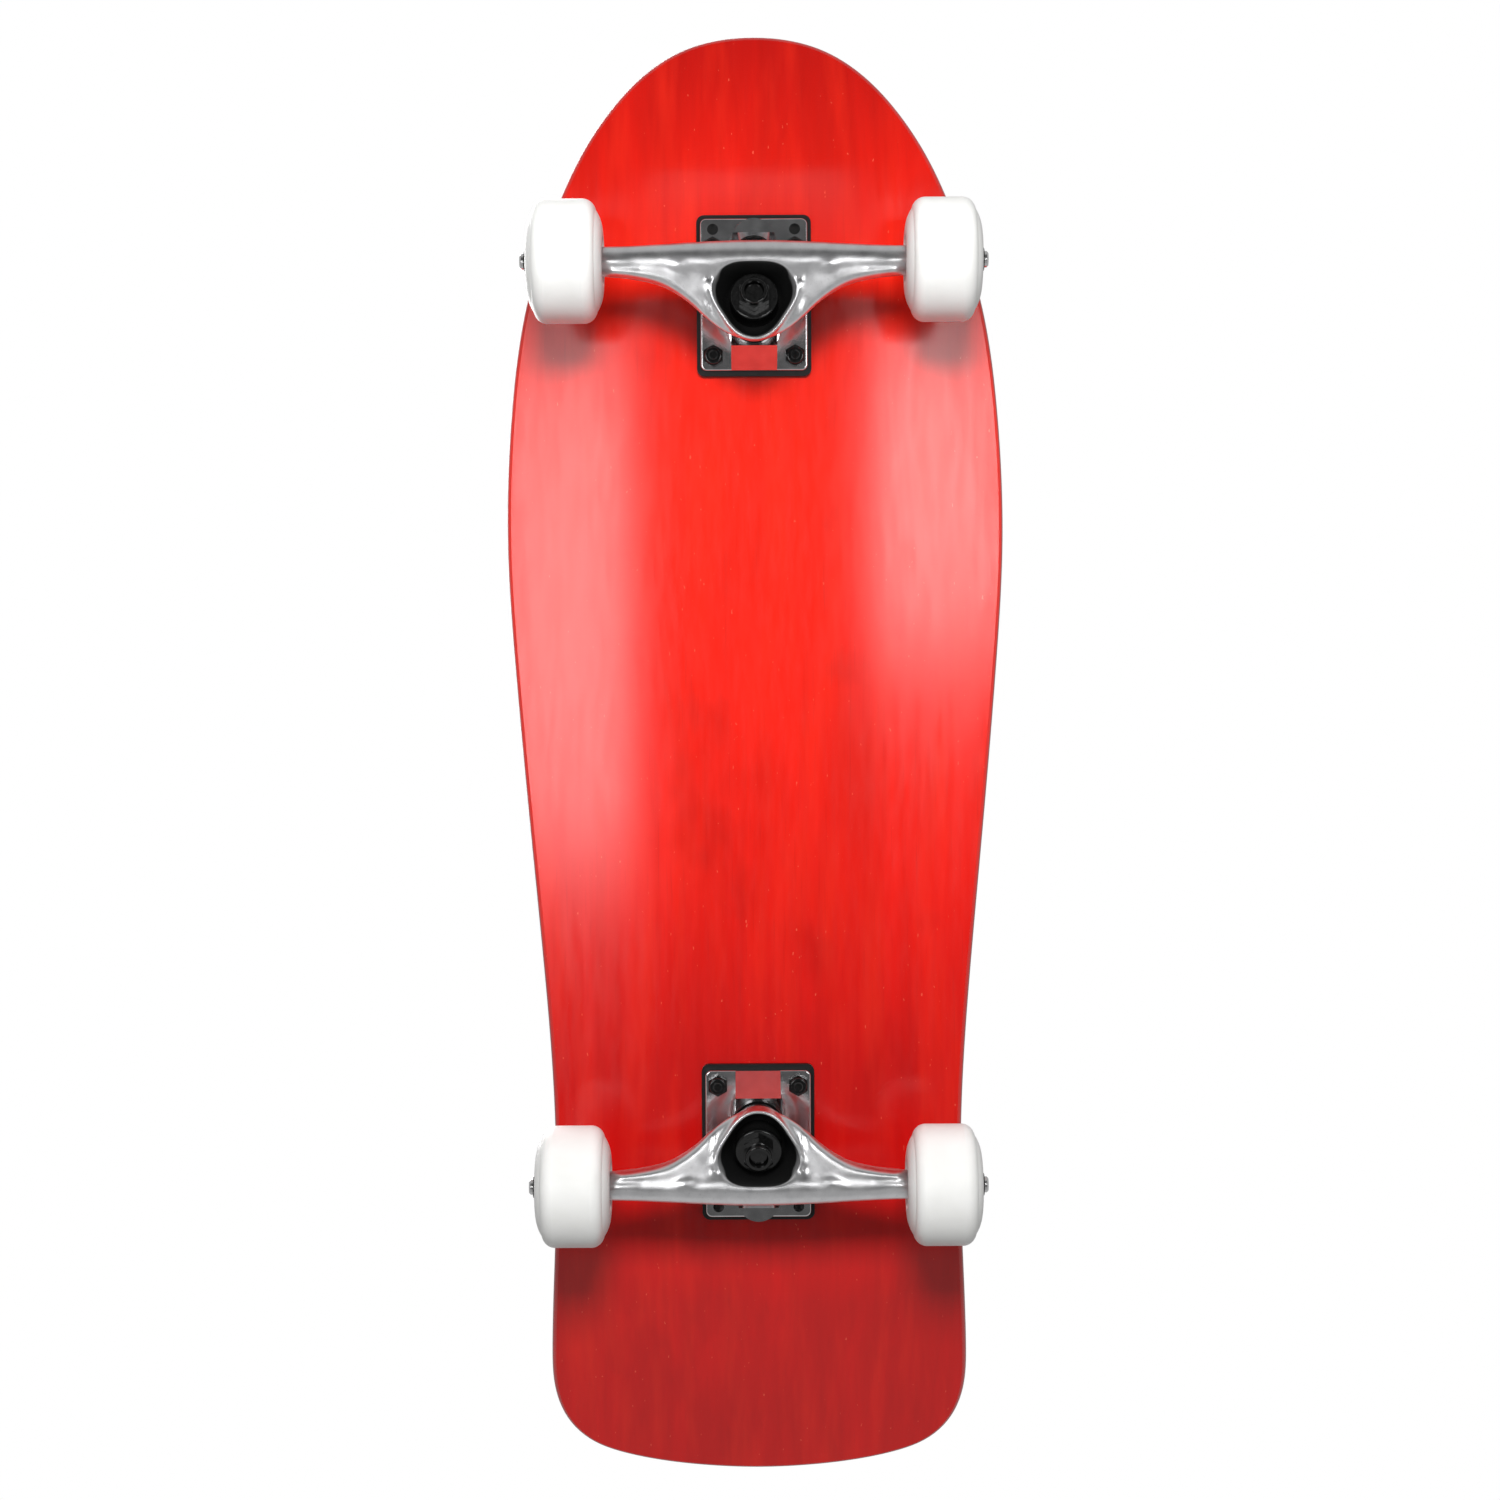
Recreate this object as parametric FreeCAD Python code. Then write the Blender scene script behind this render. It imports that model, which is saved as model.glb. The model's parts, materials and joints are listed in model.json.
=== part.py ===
import FreeCAD, Part
import math
import os

# An old-school cruiser skateboard, wheels down on the floor.
# Frame: +X towards the nose, +Y across the board, +Z up, floor at z = 0, and
# x = 0 half way between the tips of the nose and the tail.
# Each truck is drawn once in its own frame, with x = 0 at the axle and +x
# towards the nearer end of the board, and is then turned to face nose or tail.

# ---------------------------------------------------------------- dimensions
INCH = 25.4

# Deck: seven veneers with a full concave, and a kick at each end
DECK_THICKNESS = 10.5
PLY_COUNT = 7
GLUE_LINE = 0.02
GRIP_THICKNESS = 0.9
GRIP_INSET = 1.2
DECK_BOTTOM = 84.0
FLAT_HALF_WIDTH = 30.0
CONCAVE_RADIUS = 527.0
BLANK_HALF_WIDTH = 138.0
EDGE_ROUNDING = 6.0
NOSE_START = 265.0
NOSE_RADIUS = 150.0
NOSE_ANGLE = 13.0
TAIL_START = 262.0
TAIL_RADIUS = 130.0
TAIL_ANGLE = 19.0
KICK_BLANK = 150.0
CUTTER_LOW = DECK_BOTTOM - 20
CUTTER_HEIGHT = 200.0
HOLE_TOP = DECK_BOTTOM + DECK_THICKNESS + 2

# Half outline of the deck, half way through its thickness: distance along the
# bent deck from the middle of the wheelbase, nose positive, and half width there
NOSE_TIP = 351.5
TAIL_TIP = 409.0
HALF_OUTLINE = [
    (345.0, 34.5), (333.7, 53.0), (314.4, 71.6), (289.0, 88.0), (258.0, 102.0),
    (215.0, 116.0), (155.0, 124.9), (93.5, 127.4), (31.7, 124.3), (-46.0, 117.9),
    (-125.0, 110.8), (-202.7, 105.8), (-277.0, 106.5), (-337.5, 109.6),
    (-364.0, 108.4), (-382.0, 101.5), (-393.5, 89.8), (-400.5, 72.0), (-406.0, 42.0),
]

# Mounting hardware: one pattern of bolts, and a second, longer, pattern left open
WHEELBASE = 371.5
BOLT_SPACING_Y = 1.625 * INCH
BOLT_SPACING_X = 2.125 * INCH
LONG_SPACING_X = 2.5 * INCH
BOLT_RADIUS = 2.4
BOLT_HOLE_RADIUS = 2.75
BOLT_END = 68.4
BOLT_HEAD_TOP = 94.9
BOLT_HEAD_RADIUS = 4.7
BOLT_HEAD_HEIGHT = 2.6
MOUNTING_NUT_FLATS = 9.5
MOUNTING_NUT_HEX = 4.2
MOUNTING_NUT_COLLAR = 1.6
COUNTERSINK_CLEARANCE = 0.2
DRIVER_SLOT_LENGTH = 5.0
DRIVER_SLOT_WIDTH = 1.1
DRIVER_SLOT_DEPTH = 1.6

# Riser and baseplate, in the truck's frame
AXLE_TO_BOLTS = 42.0
RISER_LENGTH = 81.0
RISER_WIDTH = 58.0
RISER_THICKNESS = 3.0
RISER_CORNER = 4.0
PLATE_LENGTH = 76.0
PLATE_WIDTH = 54.0
PLATE_THICKNESS = 5.0
PLATE_CORNER = 3.0
PLATE_INBOARD = -49.2
PLATE_EDGE_FILLET = 0.8
RIB_HALF_WIDTH = 11.5
RIB_STEP = 0.5
RIB_WEB_DEPTH = 3.0
BOSS_X = 13.3
BOSS_BASE_RADIUS = 13.5
BOSS_END_RADIUS = 10.6
BOSS_DEPTH = 22.5
SEAT_RADIUS = 13.2
SEAT_HEIGHT = 14.0
KINGPIN_POCKET_RADIUS = 9.0

# Kingpin stack, along the kingpin: 0 at the middle of the yoke, + to the floor
YOKE_X = -21.0
YOKE_Z = 42.0
KINGPIN_LEAN = 14.0
KINGPIN_RADIUS = 4.75
KINGPIN_HOLE_RADIUS = 5.0
KINGPIN_END = 20.0
KINGPIN_HEAD_FLATS = 14.0
KINGPIN_HEAD_TOP = -36.5
KINGPIN_SHOULDER = -30.5
LOWER_SEAT = -19.0
LOWER_WASHER_THICKNESS = 1.5
LOWER_BUSHING_RADIUS = 12.0
YOKE_SEAT_BOARD = -3.5
YOKE_TOP = -5.0
YOKE_SEAT_ROAD = 3.0
YOKE_BORE_RADIUS = 6.9
YOKE_RING_RADIUS = 16.0
UPPER_BUSHING_END = 13.5
UPPER_WASHER_THICKNESS = 1.7
UPPER_WASHER_RADIUS = 11.7
UPPER_WASHER_LIP = 1.2
BUSHING_BULGE = 0.8
UPPER_BUSHING_NECK_RADIUS = 9.7
KINGPIN_NUT_FLATS = 14.3
KINGPIN_NUT_HEX = 5.6
KINGPIN_NUT_COLLAR = 2.4

# Pivot: the nose of the hanger turns in a plastic cup in the baseplate
PIVOT_X = 13.0
PIVOT_Z = 64.0
PIVOT_RADIUS = 6.0
PIVOT_CLEARANCE = 0.08
PIVOT_CUP_RADIUS = 8.0
PIVOT_CUP_MOUTH = 2.5
PIVOT_CUP_FLOOR = -8.5
PIVOT_CUP_LIP = 0.6
NECK_START = 7.0
NECK_RADIUS = 7.8
NOSE_END = 4.0
SHOULDER_START = 5.4
SHOULDER_STEP = 0.7

# Hanger: half length, and how far the wing reaches inboard of the axle
HANGER_HALF_LENGTH = 79.0
HANGER_END_RADIUS = 7.0
HANGER_MIDDLE_RADIUS = 9.9
HANGER_COLLAR_RADIUS = 7.85
HANGER_COLLAR_LENGTH = 3.0
WING_HALF_THICKNESS = 6.5
WING_REACH = [
    (0.0, 39.0), (14.6, 34.6), (22.5, 28.8), (30.5, 21.4),
    (43.0, 13.2), (57.5, 9.2), (76.0, 7.4),
]

# Three-cornered sections of the hanger's yoke and neck: x and z of the middle,
# half length inboard to outboard, and half width across the board
SECTION_POINTS = 18
CORNER_DEPTH = 0.1
YOKE_RIM = (-18.2, 23.0, 19.0, 21.4)
YOKE_WAIST = (-20.0, 34.0, 17.0, 19.4)
RECESS_MOUTH = (-16.9, 19.0, 17.6, 20.0)
RECESS_WAIST = (-19.4, 31.0, 15.2, 17.0)
NECK_FOOT = (-2.0, 31.0, 8.0, 17.0)
NECK_SHIN = (-0.3, 46.0, 8.6, 10.5)
NECK_SHIN_LEAN = 20.0
BUSHING_CLEARANCE = 1.6

# Axle, wheels and bearings
AXLE_Z = 30.0
AXLE_RADIUS = 3.97
AXLE_HALF_LENGTH = 114.0
WHEEL_RADIUS = 30.0
WHEEL_HALF_WIDTH = 18.5
WHEEL_CENTRE = 92.0
TREAD_HALF_WIDTH = 9.3
WHEEL_CORNER = (28.6, 12.9)
WHEEL_CORNER_END = (24.6, 15.3)
WHEEL_FACE = (19.9, 17.6)
WHEEL_FACE_RADIUS = 15.0
SEAT_EDGE_RADIUS = 12.4
SEAT_EDGE_DEPTH = 1.4
SPEED_WASHER_THICKNESS = 1.0
SPEED_WASHER_RADIUS = 6.0
AXLE_NUT_FLATS = 12.7
AXLE_NUT_HEX = 5.0
AXLE_NUT_COLLAR = 2.0
BEARING_OUTER_RADIUS = 11.0
BEARING_WIDTH = 7.0
BEARING_BORE_RADIUS = 4.0
BEARING_CENTRE = 8.5
BALL_COUNT = 7
BALL_RADIUS = 1.984
BALL_PITCH_RADIUS = 7.5
GROOVE_CLEARANCE = 0.05
RETAINER_HALF_WIDTH = 0.6
RETAINER_BACK = 2.7
SHIELD_INSET = 0.15
SHIELD_THICKNESS = 0.3
INNER_RING_RADIUS = 6.1
OUTER_RING_INNER_RADIUS = 9.0
SPACER_RADIUS = 5.2
WHEEL_CORE_RADIUS = 8.0

# Small gaps between pieces that screw or press together
THREAD_GAP = 0.05

# ------------------------------------------------------------- derived sizes
PLY_PITCH = (DECK_THICKNESS + GLUE_LINE) / PLY_COUNT
PLY_THICKNESS = PLY_PITCH - GLUE_LINE
FLANGE_TOP = DECK_BOTTOM - RISER_THICKNESS
FLANGE_BOTTOM = FLANGE_TOP - PLATE_THICKNESS
AXLE_X = WHEELBASE / 2 + AXLE_TO_BOLTS
YOKE_CENTRE = FreeCAD.Vector(YOKE_X, 0, YOKE_Z)
PIVOT_CENTRE = FreeCAD.Vector(PIVOT_X, 0, PIVOT_Z)
UP = FreeCAD.Vector(0, 0, 1)
ACROSS = FreeCAD.Vector(0, 1, 0)
ORIGIN = FreeCAD.Vector(0, 0, 0)


# ------------------------------------------------------------------- helpers
def closed_wire(start, steps):
    """A closed wire in the XZ plane. A step is a line's end, or an arc's middle and end."""
    edges = []
    here = FreeCAD.Vector(start[0], 0, start[1])
    first = here
    for step in steps:
        there = FreeCAD.Vector(step[-2], 0, step[-1])
        if len(step) == 4:
            middle = FreeCAD.Vector(step[0], 0, step[1])
            edges.append(Part.Arc(here, middle, there).toShape())
        else:
            edges.append(Part.LineSegment(here, there).toShape())
        here = there
    if here.distanceToPoint(first) > 1e-6:
        edges.append(Part.LineSegment(here, first).toShape())
    return Part.Wire(edges)


def turned(start, steps):
    """A solid of revolution about Z. Points are (radius, height)."""
    return Part.Face(closed_wire(start, steps)).revolve(ORIGIN, UP, 360)


def ring(inner, outer, low, high):
    """A plain ring about Z."""
    return turned((inner, low), [(outer, low), (outer, high), (inner, high)])


def cylinder(radius, low, high):
    return Part.makeCylinder(radius, high - low, FreeCAD.Vector(0, 0, low))


def along(shape, origin, direction):
    """Stand a shape drawn about Z on an origin, with its Z along a direction in the XZ plane."""
    angle = math.degrees(math.atan2(direction.x, direction.z))
    moved = shape.copy()
    stand = FreeCAD.Placement(origin, FreeCAD.Rotation(ACROSS, angle))
    moved.Placement = stand.multiply(shape.Placement)
    return moved


def on_axle(shape, y=0.0):
    """Lay a shape drawn about Z on the axle line, with its middle at y."""
    moved = shape.copy()
    turn = FreeCAD.Rotation(FreeCAD.Vector(1, 0, 0), -90)
    lay = FreeCAD.Placement(FreeCAD.Vector(0, y, AXLE_Z), turn)
    moved.Placement = lay.multiply(shape.Placement)
    return moved


def kingpin_direction():
    lean = math.radians(KINGPIN_LEAN)
    return FreeCAD.Vector(math.sin(lean), 0, -math.cos(lean))


def on_kingpin(shape):
    return along(shape, YOKE_CENTRE, kingpin_direction())


def steering_direction():
    """From the pivot down to the middle of the yoke."""
    return (YOKE_CENTRE - PIVOT_CENTRE).normalize()


def on_steering_axis(shape):
    return along(shape, PIVOT_CENTRE, steering_direction())


def hexagon(across_flats, low, high):
    corner = across_flats / math.sqrt(3)
    points = []
    for index in range(7):
        angle = math.radians(60 * index)
        points.append(FreeCAD.Vector(corner * math.cos(angle), corner * math.sin(angle), low))
    face = Part.Face(Part.makePolygon(points))
    return face.extrude(FreeCAD.Vector(0, 0, high - low))


def lock_nut(across_flats, hex_height, collar_height, thread_radius):
    """A hexagon nut from z = 0 up, with chamfered corners and a round nylon collar."""
    corner = across_flats / math.sqrt(3)
    flat = across_flats / 2
    chamfer = (corner - flat) * 0.6
    trim = turned((0, 0), [(flat, 0), (corner, chamfer), (corner, hex_height - chamfer),
                           (flat, hex_height), (0, hex_height)])
    top = hex_height + collar_height
    wide = flat * 0.92
    collar = turned((0, hex_height), [(wide, hex_height), (wide, top - 0.8),
                                      (wide - 0.24, top - 0.24, wide - 0.8, top), (0, top)])
    body = hexagon(across_flats, 0, hex_height).common(trim).fuse(collar)
    hole = cylinder(thread_radius + THREAD_GAP, -1, top + 1)
    return body.cut(hole).removeSplitter()


def rounded_box(x_low, x_high, width, z_low, z_high, corner):
    box = Part.makeBox(x_high - x_low, width, z_high - z_low,
                       FreeCAD.Vector(x_low, -width / 2, z_low))
    upright = [edge for edge in box.Edges if abs(edge.tangentAt(0).z) > 0.9]
    return box.makeFillet(corner, upright)


def closed_curve(points):
    curve = Part.BSplineCurve()
    curve.interpolate(Points=points, PeriodicFlag=True)
    return Part.Wire(curve.toShape())


# ---------------------------------------------------------------------- deck
def deck_point(distance, level):
    """x and z in the deck's middle section, at a distance along it and a level above its underside."""
    if distance > NOSE_START:
        start, radius, most = NOSE_START, NOSE_RADIUS, math.radians(NOSE_ANGLE)
    elif distance < -TAIL_START:
        start, radius, most = TAIL_START, TAIL_RADIUS, math.radians(TAIL_ANGLE)
    else:
        return distance, DECK_BOTTOM + level
    past = abs(distance) - start
    half_way_radius = radius - DECK_THICKNESS / 2
    angle = min(past / half_way_radius, most)
    straight = past - half_way_radius * angle
    x = start + (radius - level) * math.sin(angle) + straight * math.cos(angle)
    z = DECK_BOTTOM + radius - (radius - level) * math.cos(angle) + straight * math.sin(angle)
    return math.copysign(x, distance), z


def deck_middle():
    """x of the middle of the wheelbase, so that nose and tail are as far from x = 0."""
    middle = DECK_THICKNESS / 2
    nose = deck_point(NOSE_TIP, middle)[0]
    tail = deck_point(-TAIL_TIP, middle)[0]
    return -(nose + tail) / 2


def deck_outline(level, inset):
    """The outline of the deck at a level above its underside, drawn in by an inset."""
    half = [(NOSE_TIP, 0.0)] + HALF_OUTLINE + [(-TAIL_TIP, 0.0)]
    flat = []
    for distance, width in half:
        slope = max(width - FLAT_HALF_WIDTH, 0) / CONCAVE_RADIUS
        y = width - (level - DECK_THICKNESS / 2) * slope
        flat.append(FreeCAD.Vector(deck_point(distance, level)[0], y, 0))
    mirrored = [FreeCAD.Vector(point.x, -point.y, 0) for point in reversed(flat[1:-1])]
    loop = flat + mirrored
    curve = Part.BSplineCurve()
    curve.interpolate(Points=loop, PeriodicFlag=True)
    if inset == 0:
        return Part.Wire(curve.toShape())
    drawn_in = []
    for point in loop:
        tangent = curve.tangent(curve.parameter(point))[0]
        inward = FreeCAD.Vector(tangent.y, -tangent.x, 0).normalize()
        if inward.dot(point) > 0:
            inward = inward * -1
        drawn_in.append(point + inward * inset)
    return closed_curve(drawn_in)


def deck_section(low, high):
    """The face across the board between two levels: flat in the middle, curving up at both sides."""
    turn = math.asin((BLANK_HALF_WIDTH - FLAT_HALF_WIDTH) / CONCAVE_RADIUS)
    centre_z = DECK_BOTTOM + CONCAVE_RADIUS

    def rim(side, level, angle):
        radius = CONCAVE_RADIUS - level
        y = side * (FLAT_HALF_WIDTH + radius * math.sin(angle))
        return FreeCAD.Vector(0, y, centre_z - radius * math.cos(angle))

    edges = []
    for level in (low, high):
        for side in (-1, 1):
            arc = Part.Arc(rim(side, level, 0), rim(side, level, turn / 2), rim(side, level, turn))
            edges.append(arc.toShape())
        edges.append(Part.LineSegment(rim(-1, level, 0), rim(1, level, 0)).toShape())
    for side in (-1, 1):
        edges.append(Part.LineSegment(rim(side, low, turn), rim(side, high, turn)).toShape())
    return Part.Face(Part.Wire(Part.__sortEdges__(edges)))


def deck_slab(low, high):
    """A bent sheet between two levels, before it is cut to the outline."""
    section = deck_section(low, high)
    middle = section.translated(FreeCAD.Vector(-TAIL_START, 0, 0))
    pieces = [middle.extrude(FreeCAD.Vector(NOSE_START + TAIL_START, 0, 0))]
    kicks = [(1, NOSE_START, NOSE_RADIUS, NOSE_ANGLE), (-1, TAIL_START, TAIL_RADIUS, TAIL_ANGLE)]
    for side, start, radius, angle in kicks:
        near = section.translated(FreeCAD.Vector(side * start, 0, 0))
        centre = FreeCAD.Vector(side * start, 0, DECK_BOTTOM + radius)
        pieces.append(near.revolve(centre, ACROSS, -side * angle))
        far = near.rotated(centre, ACROSS, -side * angle)
        slope = math.radians(angle)
        run = FreeCAD.Vector(side * math.cos(slope), 0, math.sin(slope)) * KICK_BLANK
        pieces.append(far.extrude(run))
    return pieces[0].multiFuse(pieces[1:])


def bolt_places():
    """x and y of the eight mounting bolts, from the middle of the wheelbase."""
    places = []
    for end in (-1, 1):
        for x in (WHEELBASE / 2, WHEELBASE / 2 + BOLT_SPACING_X):
            for y in (-BOLT_SPACING_Y / 2, BOLT_SPACING_Y / 2):
                places.append((end * x, y))
    return places


def bolt_hole_cutter():
    """Bolt holes with a countersink at the top of the deck."""
    wide = BOLT_HEAD_RADIUS + COUNTERSINK_CLEARANCE
    profile = [(BOLT_HOLE_RADIUS, DECK_BOTTOM - 1),
               (BOLT_HOLE_RADIUS, BOLT_HEAD_TOP - BOLT_HEAD_HEIGHT),
               (wide, BOLT_HEAD_TOP - 0.1), (wide, HOLE_TOP), (0, HOLE_TOP)]
    one = turned((0, DECK_BOTTOM - 1), profile)
    return Part.makeCompound([one.translated(FreeCAD.Vector(x, y, 0)) for x, y in bolt_places()])


def deck_layer(low, high, inset):
    """One veneer, or the grip sheet, cut to the outline and drilled."""
    outline = deck_outline((low + high) / 2, inset)
    outline.translate(FreeCAD.Vector(0, 0, CUTTER_LOW))
    cutter = Part.Face(outline).extrude(FreeCAD.Vector(0, 0, CUTTER_HEIGHT))
    return deck_slab(low, high).common(cutter).cut(bolt_hole_cutter())


def edge_inset(level):
    """How far the rounded edge of the deck is drawn in at a level."""
    off_middle = abs(level - DECK_THICKNESS / 2)
    return EDGE_ROUNDING - math.sqrt(EDGE_ROUNDING ** 2 - off_middle ** 2)


def build_deck():
    nodes = {}
    for index in range(PLY_COUNT):
        low = index * PLY_PITCH
        high = low + PLY_THICKNESS
        nodes["deck_ply_%d" % (index + 1)] = deck_layer(low, high, edge_inset((low + high) / 2))
    top = DECK_THICKNESS
    inset = edge_inset(top - PLY_THICKNESS / 2) + GRIP_INSET
    nodes["grip_tape"] = deck_layer(top + GLUE_LINE, top + GRIP_THICKNESS, inset)
    return nodes


# ------------------------------------------------------------ mounting parts
def mounting_bolt():
    """A countersunk bolt with a cross recess, its head level with the grip."""
    low = BOLT_HEAD_TOP - BOLT_HEAD_HEIGHT
    bolt = turned((0, BOLT_END), [(BOLT_RADIUS - 0.5, BOLT_END), (BOLT_RADIUS, BOLT_END + 0.5),
                                  (BOLT_RADIUS, low), (BOLT_HEAD_RADIUS, BOLT_HEAD_TOP - 0.2),
                                  (BOLT_HEAD_RADIUS, BOLT_HEAD_TOP), (0, BOLT_HEAD_TOP)])
    slot = (DRIVER_SLOT_LENGTH, DRIVER_SLOT_WIDTH)
    for size_x, size_y in (slot, slot[::-1]):
        corner = FreeCAD.Vector(-size_x / 2, -size_y / 2, BOLT_HEAD_TOP - DRIVER_SLOT_DEPTH)
        bolt = bolt.cut(Part.makeBox(size_x, size_y, DRIVER_SLOT_DEPTH + 1, corner))
    return bolt


def build_hardware():
    nut = lock_nut(MOUNTING_NUT_FLATS, MOUNTING_NUT_HEX, MOUNTING_NUT_COLLAR, BOLT_RADIUS)
    nut = along(nut, FreeCAD.Vector(0, 0, FLANGE_BOTTOM), FreeCAD.Vector(0, 0, -1))
    bolt = mounting_bolt()
    bolts = []
    nuts = []
    for x, y in bolt_places():
        place = FreeCAD.Vector(x, y, 0)
        bolts.append(bolt.translated(place))
        nuts.append(nut.translated(place))
    return {"mounting_bolts": Part.makeCompound(bolts), "mounting_nuts": Part.makeCompound(nuts)}


def plate_holes(rows):
    """Pairs of bolt holes, each row at a distance from the inboard bolts."""
    holes = []
    for x in rows:
        for side in (-1, 1):
            base = FreeCAD.Vector(x - AXLE_TO_BOLTS, side * BOLT_SPACING_Y / 2, FLANGE_BOTTOM - 1)
            length = DECK_BOTTOM - FLANGE_BOTTOM + 2
            holes.append(Part.makeCylinder(BOLT_HOLE_RADIUS, length, base))
    return Part.makeCompound(holes)


def riser():
    middle = PLATE_INBOARD + PLATE_LENGTH / 2
    pad = rounded_box(middle - RISER_LENGTH / 2, middle + RISER_LENGTH / 2, RISER_WIDTH,
                      FLANGE_TOP, DECK_BOTTOM, RISER_CORNER)
    return pad.cut(plate_holes((0, BOLT_SPACING_X)))


def baseplate():
    """Cast plate with a rib, a seat for the kingpin and a boss for the pivot cup."""
    plate = rounded_box(PLATE_INBOARD, PLATE_INBOARD + PLATE_LENGTH, PLATE_WIDTH,
                        FLANGE_BOTTOM, FLANGE_TOP, PLATE_CORNER)
    low_edges = [edge for edge in plate.Edges
                 if edge.BoundBox.ZMax < FLANGE_BOTTOM + 0.01]
    plate = plate.makeFillet(PLATE_EDGE_FILLET, low_edges)
    inside = FLANGE_BOTTOM + 1
    seat_near = YOKE_CENTRE + kingpin_direction() * LOWER_SEAT
    across_seat = FreeCAD.Vector(math.cos(math.radians(KINGPIN_LEAN)), 0,
                                 math.sin(math.radians(KINGPIN_LEAN))) * SEAT_RADIUS
    inner = seat_near - across_seat
    outer = seat_near + across_seat
    rib_wire = closed_wire((PLATE_INBOARD, inside),
                           [(PLATE_INBOARD, FLANGE_BOTTOM - RIB_STEP), (inner.x, inner.z),
                            (outer.x, outer.z), (outer.x + 4, outer.z + 6),
                            (BOSS_X - 9, FLANGE_BOTTOM - RIB_WEB_DEPTH), (BOSS_X, inside)])
    rib = Part.Face(rib_wire).extrude(FreeCAD.Vector(0, 2 * RIB_HALF_WIDTH, 0))
    rib.translate(FreeCAD.Vector(0, -RIB_HALF_WIDTH, 0))
    seat = on_kingpin(cylinder(SEAT_RADIUS, LOWER_SEAT - SEAT_HEIGHT, LOWER_SEAT))
    boss = Part.makeCone(BOSS_BASE_RADIUS, BOSS_END_RADIUS, BOSS_DEPTH + 1,
                         FreeCAD.Vector(BOSS_X, 0, inside), FreeCAD.Vector(0, 0, -1))
    mouth = on_steering_axis(Part.makeBox(60, 60, 40, FreeCAD.Vector(-30, -30, PIVOT_CUP_MOUTH)))
    boss = boss.cut(mouth)
    body = plate.multiFuse([rib, seat, boss])
    far_above = Part.makeBox(200, 100, 50, FreeCAD.Vector(-100, -50, FLANGE_TOP))
    pocket = on_kingpin(cylinder(KINGPIN_POCKET_RADIUS, KINGPIN_SHOULDER - 25, KINGPIN_SHOULDER))
    bore = on_kingpin(cylinder(KINGPIN_RADIUS + THREAD_GAP, KINGPIN_SHOULDER - 1, LOWER_SEAT + 1))
    socket = on_steering_axis(cylinder(PIVOT_CUP_RADIUS, PIVOT_CUP_FLOOR, PIVOT_CUP_MOUTH + 30))
    for cutter in (far_above, pocket, bore, socket):
        body = body.cut(cutter)
    return body.cut(plate_holes((0, BOLT_SPACING_X, LONG_SPACING_X)))


def pivot_cup():
    """Plastic cup that the hanger's nose turns in."""
    inner = PIVOT_RADIUS + PIVOT_CLEARANCE
    slant = inner * math.sqrt(0.5)
    cup = turned((0, PIVOT_CUP_FLOOR),
                 [(PIVOT_CUP_RADIUS - THREAD_GAP, PIVOT_CUP_FLOOR),
                  (PIVOT_CUP_RADIUS - THREAD_GAP, PIVOT_CUP_MOUTH + PIVOT_CUP_LIP),
                  (inner, PIVOT_CUP_MOUTH + PIVOT_CUP_LIP), (inner, 0), (slant, -slant, 0, -inner)])
    return on_steering_axis(cup)


# ------------------------------------------------------------- kingpin stack
def kingpin():
    chamfer = 0.6
    shank = turned((0, KINGPIN_SHOULDER),
                   [(KINGPIN_RADIUS, KINGPIN_SHOULDER), (KINGPIN_RADIUS, KINGPIN_END - chamfer),
                    (KINGPIN_RADIUS - chamfer, KINGPIN_END), (0, KINGPIN_END)])
    head = hexagon(KINGPIN_HEAD_FLATS, KINGPIN_HEAD_TOP, KINGPIN_SHOULDER)
    return on_kingpin(shank.fuse(head))


def lower_washer():
    hole = KINGPIN_HOLE_RADIUS
    return on_kingpin(ring(hole, LOWER_BUSHING_RADIUS + 0.3, LOWER_SEAT,
                           LOWER_SEAT + LOWER_WASHER_THICKNESS))


def lower_bushing():
    """Barrel of urethane between the baseplate and the yoke."""
    low = LOWER_SEAT + LOWER_WASHER_THICKNESS
    middle = (low + YOKE_SEAT_BOARD) / 2
    hole = KINGPIN_HOLE_RADIUS
    edge = LOWER_BUSHING_RADIUS - BUSHING_BULGE
    return on_kingpin(turned((hole, low), [(edge, low),
                                           (LOWER_BUSHING_RADIUS, middle, edge, YOKE_SEAT_BOARD),
                                           (hole, YOKE_SEAT_BOARD)]))


def upper_bushing():
    """Cone of urethane between the yoke and the cup washer."""
    hole = KINGPIN_HOLE_RADIUS
    return on_kingpin(turned((hole, YOKE_SEAT_ROAD),
                             [(LOWER_BUSHING_RADIUS, YOKE_SEAT_ROAD),
                              (LOWER_BUSHING_RADIUS, YOKE_SEAT_ROAD + 2),
                              (UPPER_BUSHING_NECK_RADIUS, UPPER_BUSHING_END),
                              (hole, UPPER_BUSHING_END)]))


def upper_washer():
    """Cup washer whose lip holds the end of the upper bushing."""
    hole = KINGPIN_HOLE_RADIUS
    top = UPPER_BUSHING_END + UPPER_WASHER_THICKNESS
    lip = UPPER_WASHER_RADIUS - UPPER_WASHER_LIP
    lip_end = UPPER_BUSHING_END - UPPER_WASHER_LIP
    profile = [(lip, UPPER_BUSHING_END), (lip, lip_end),
               (UPPER_WASHER_RADIUS, lip_end), (UPPER_WASHER_RADIUS, top - 1.0),
               (UPPER_WASHER_RADIUS - 0.3, top - 0.3, UPPER_WASHER_RADIUS - 1.0, top),
               (hole, top)]
    return on_kingpin(turned((hole, UPPER_BUSHING_END), profile))


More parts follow.
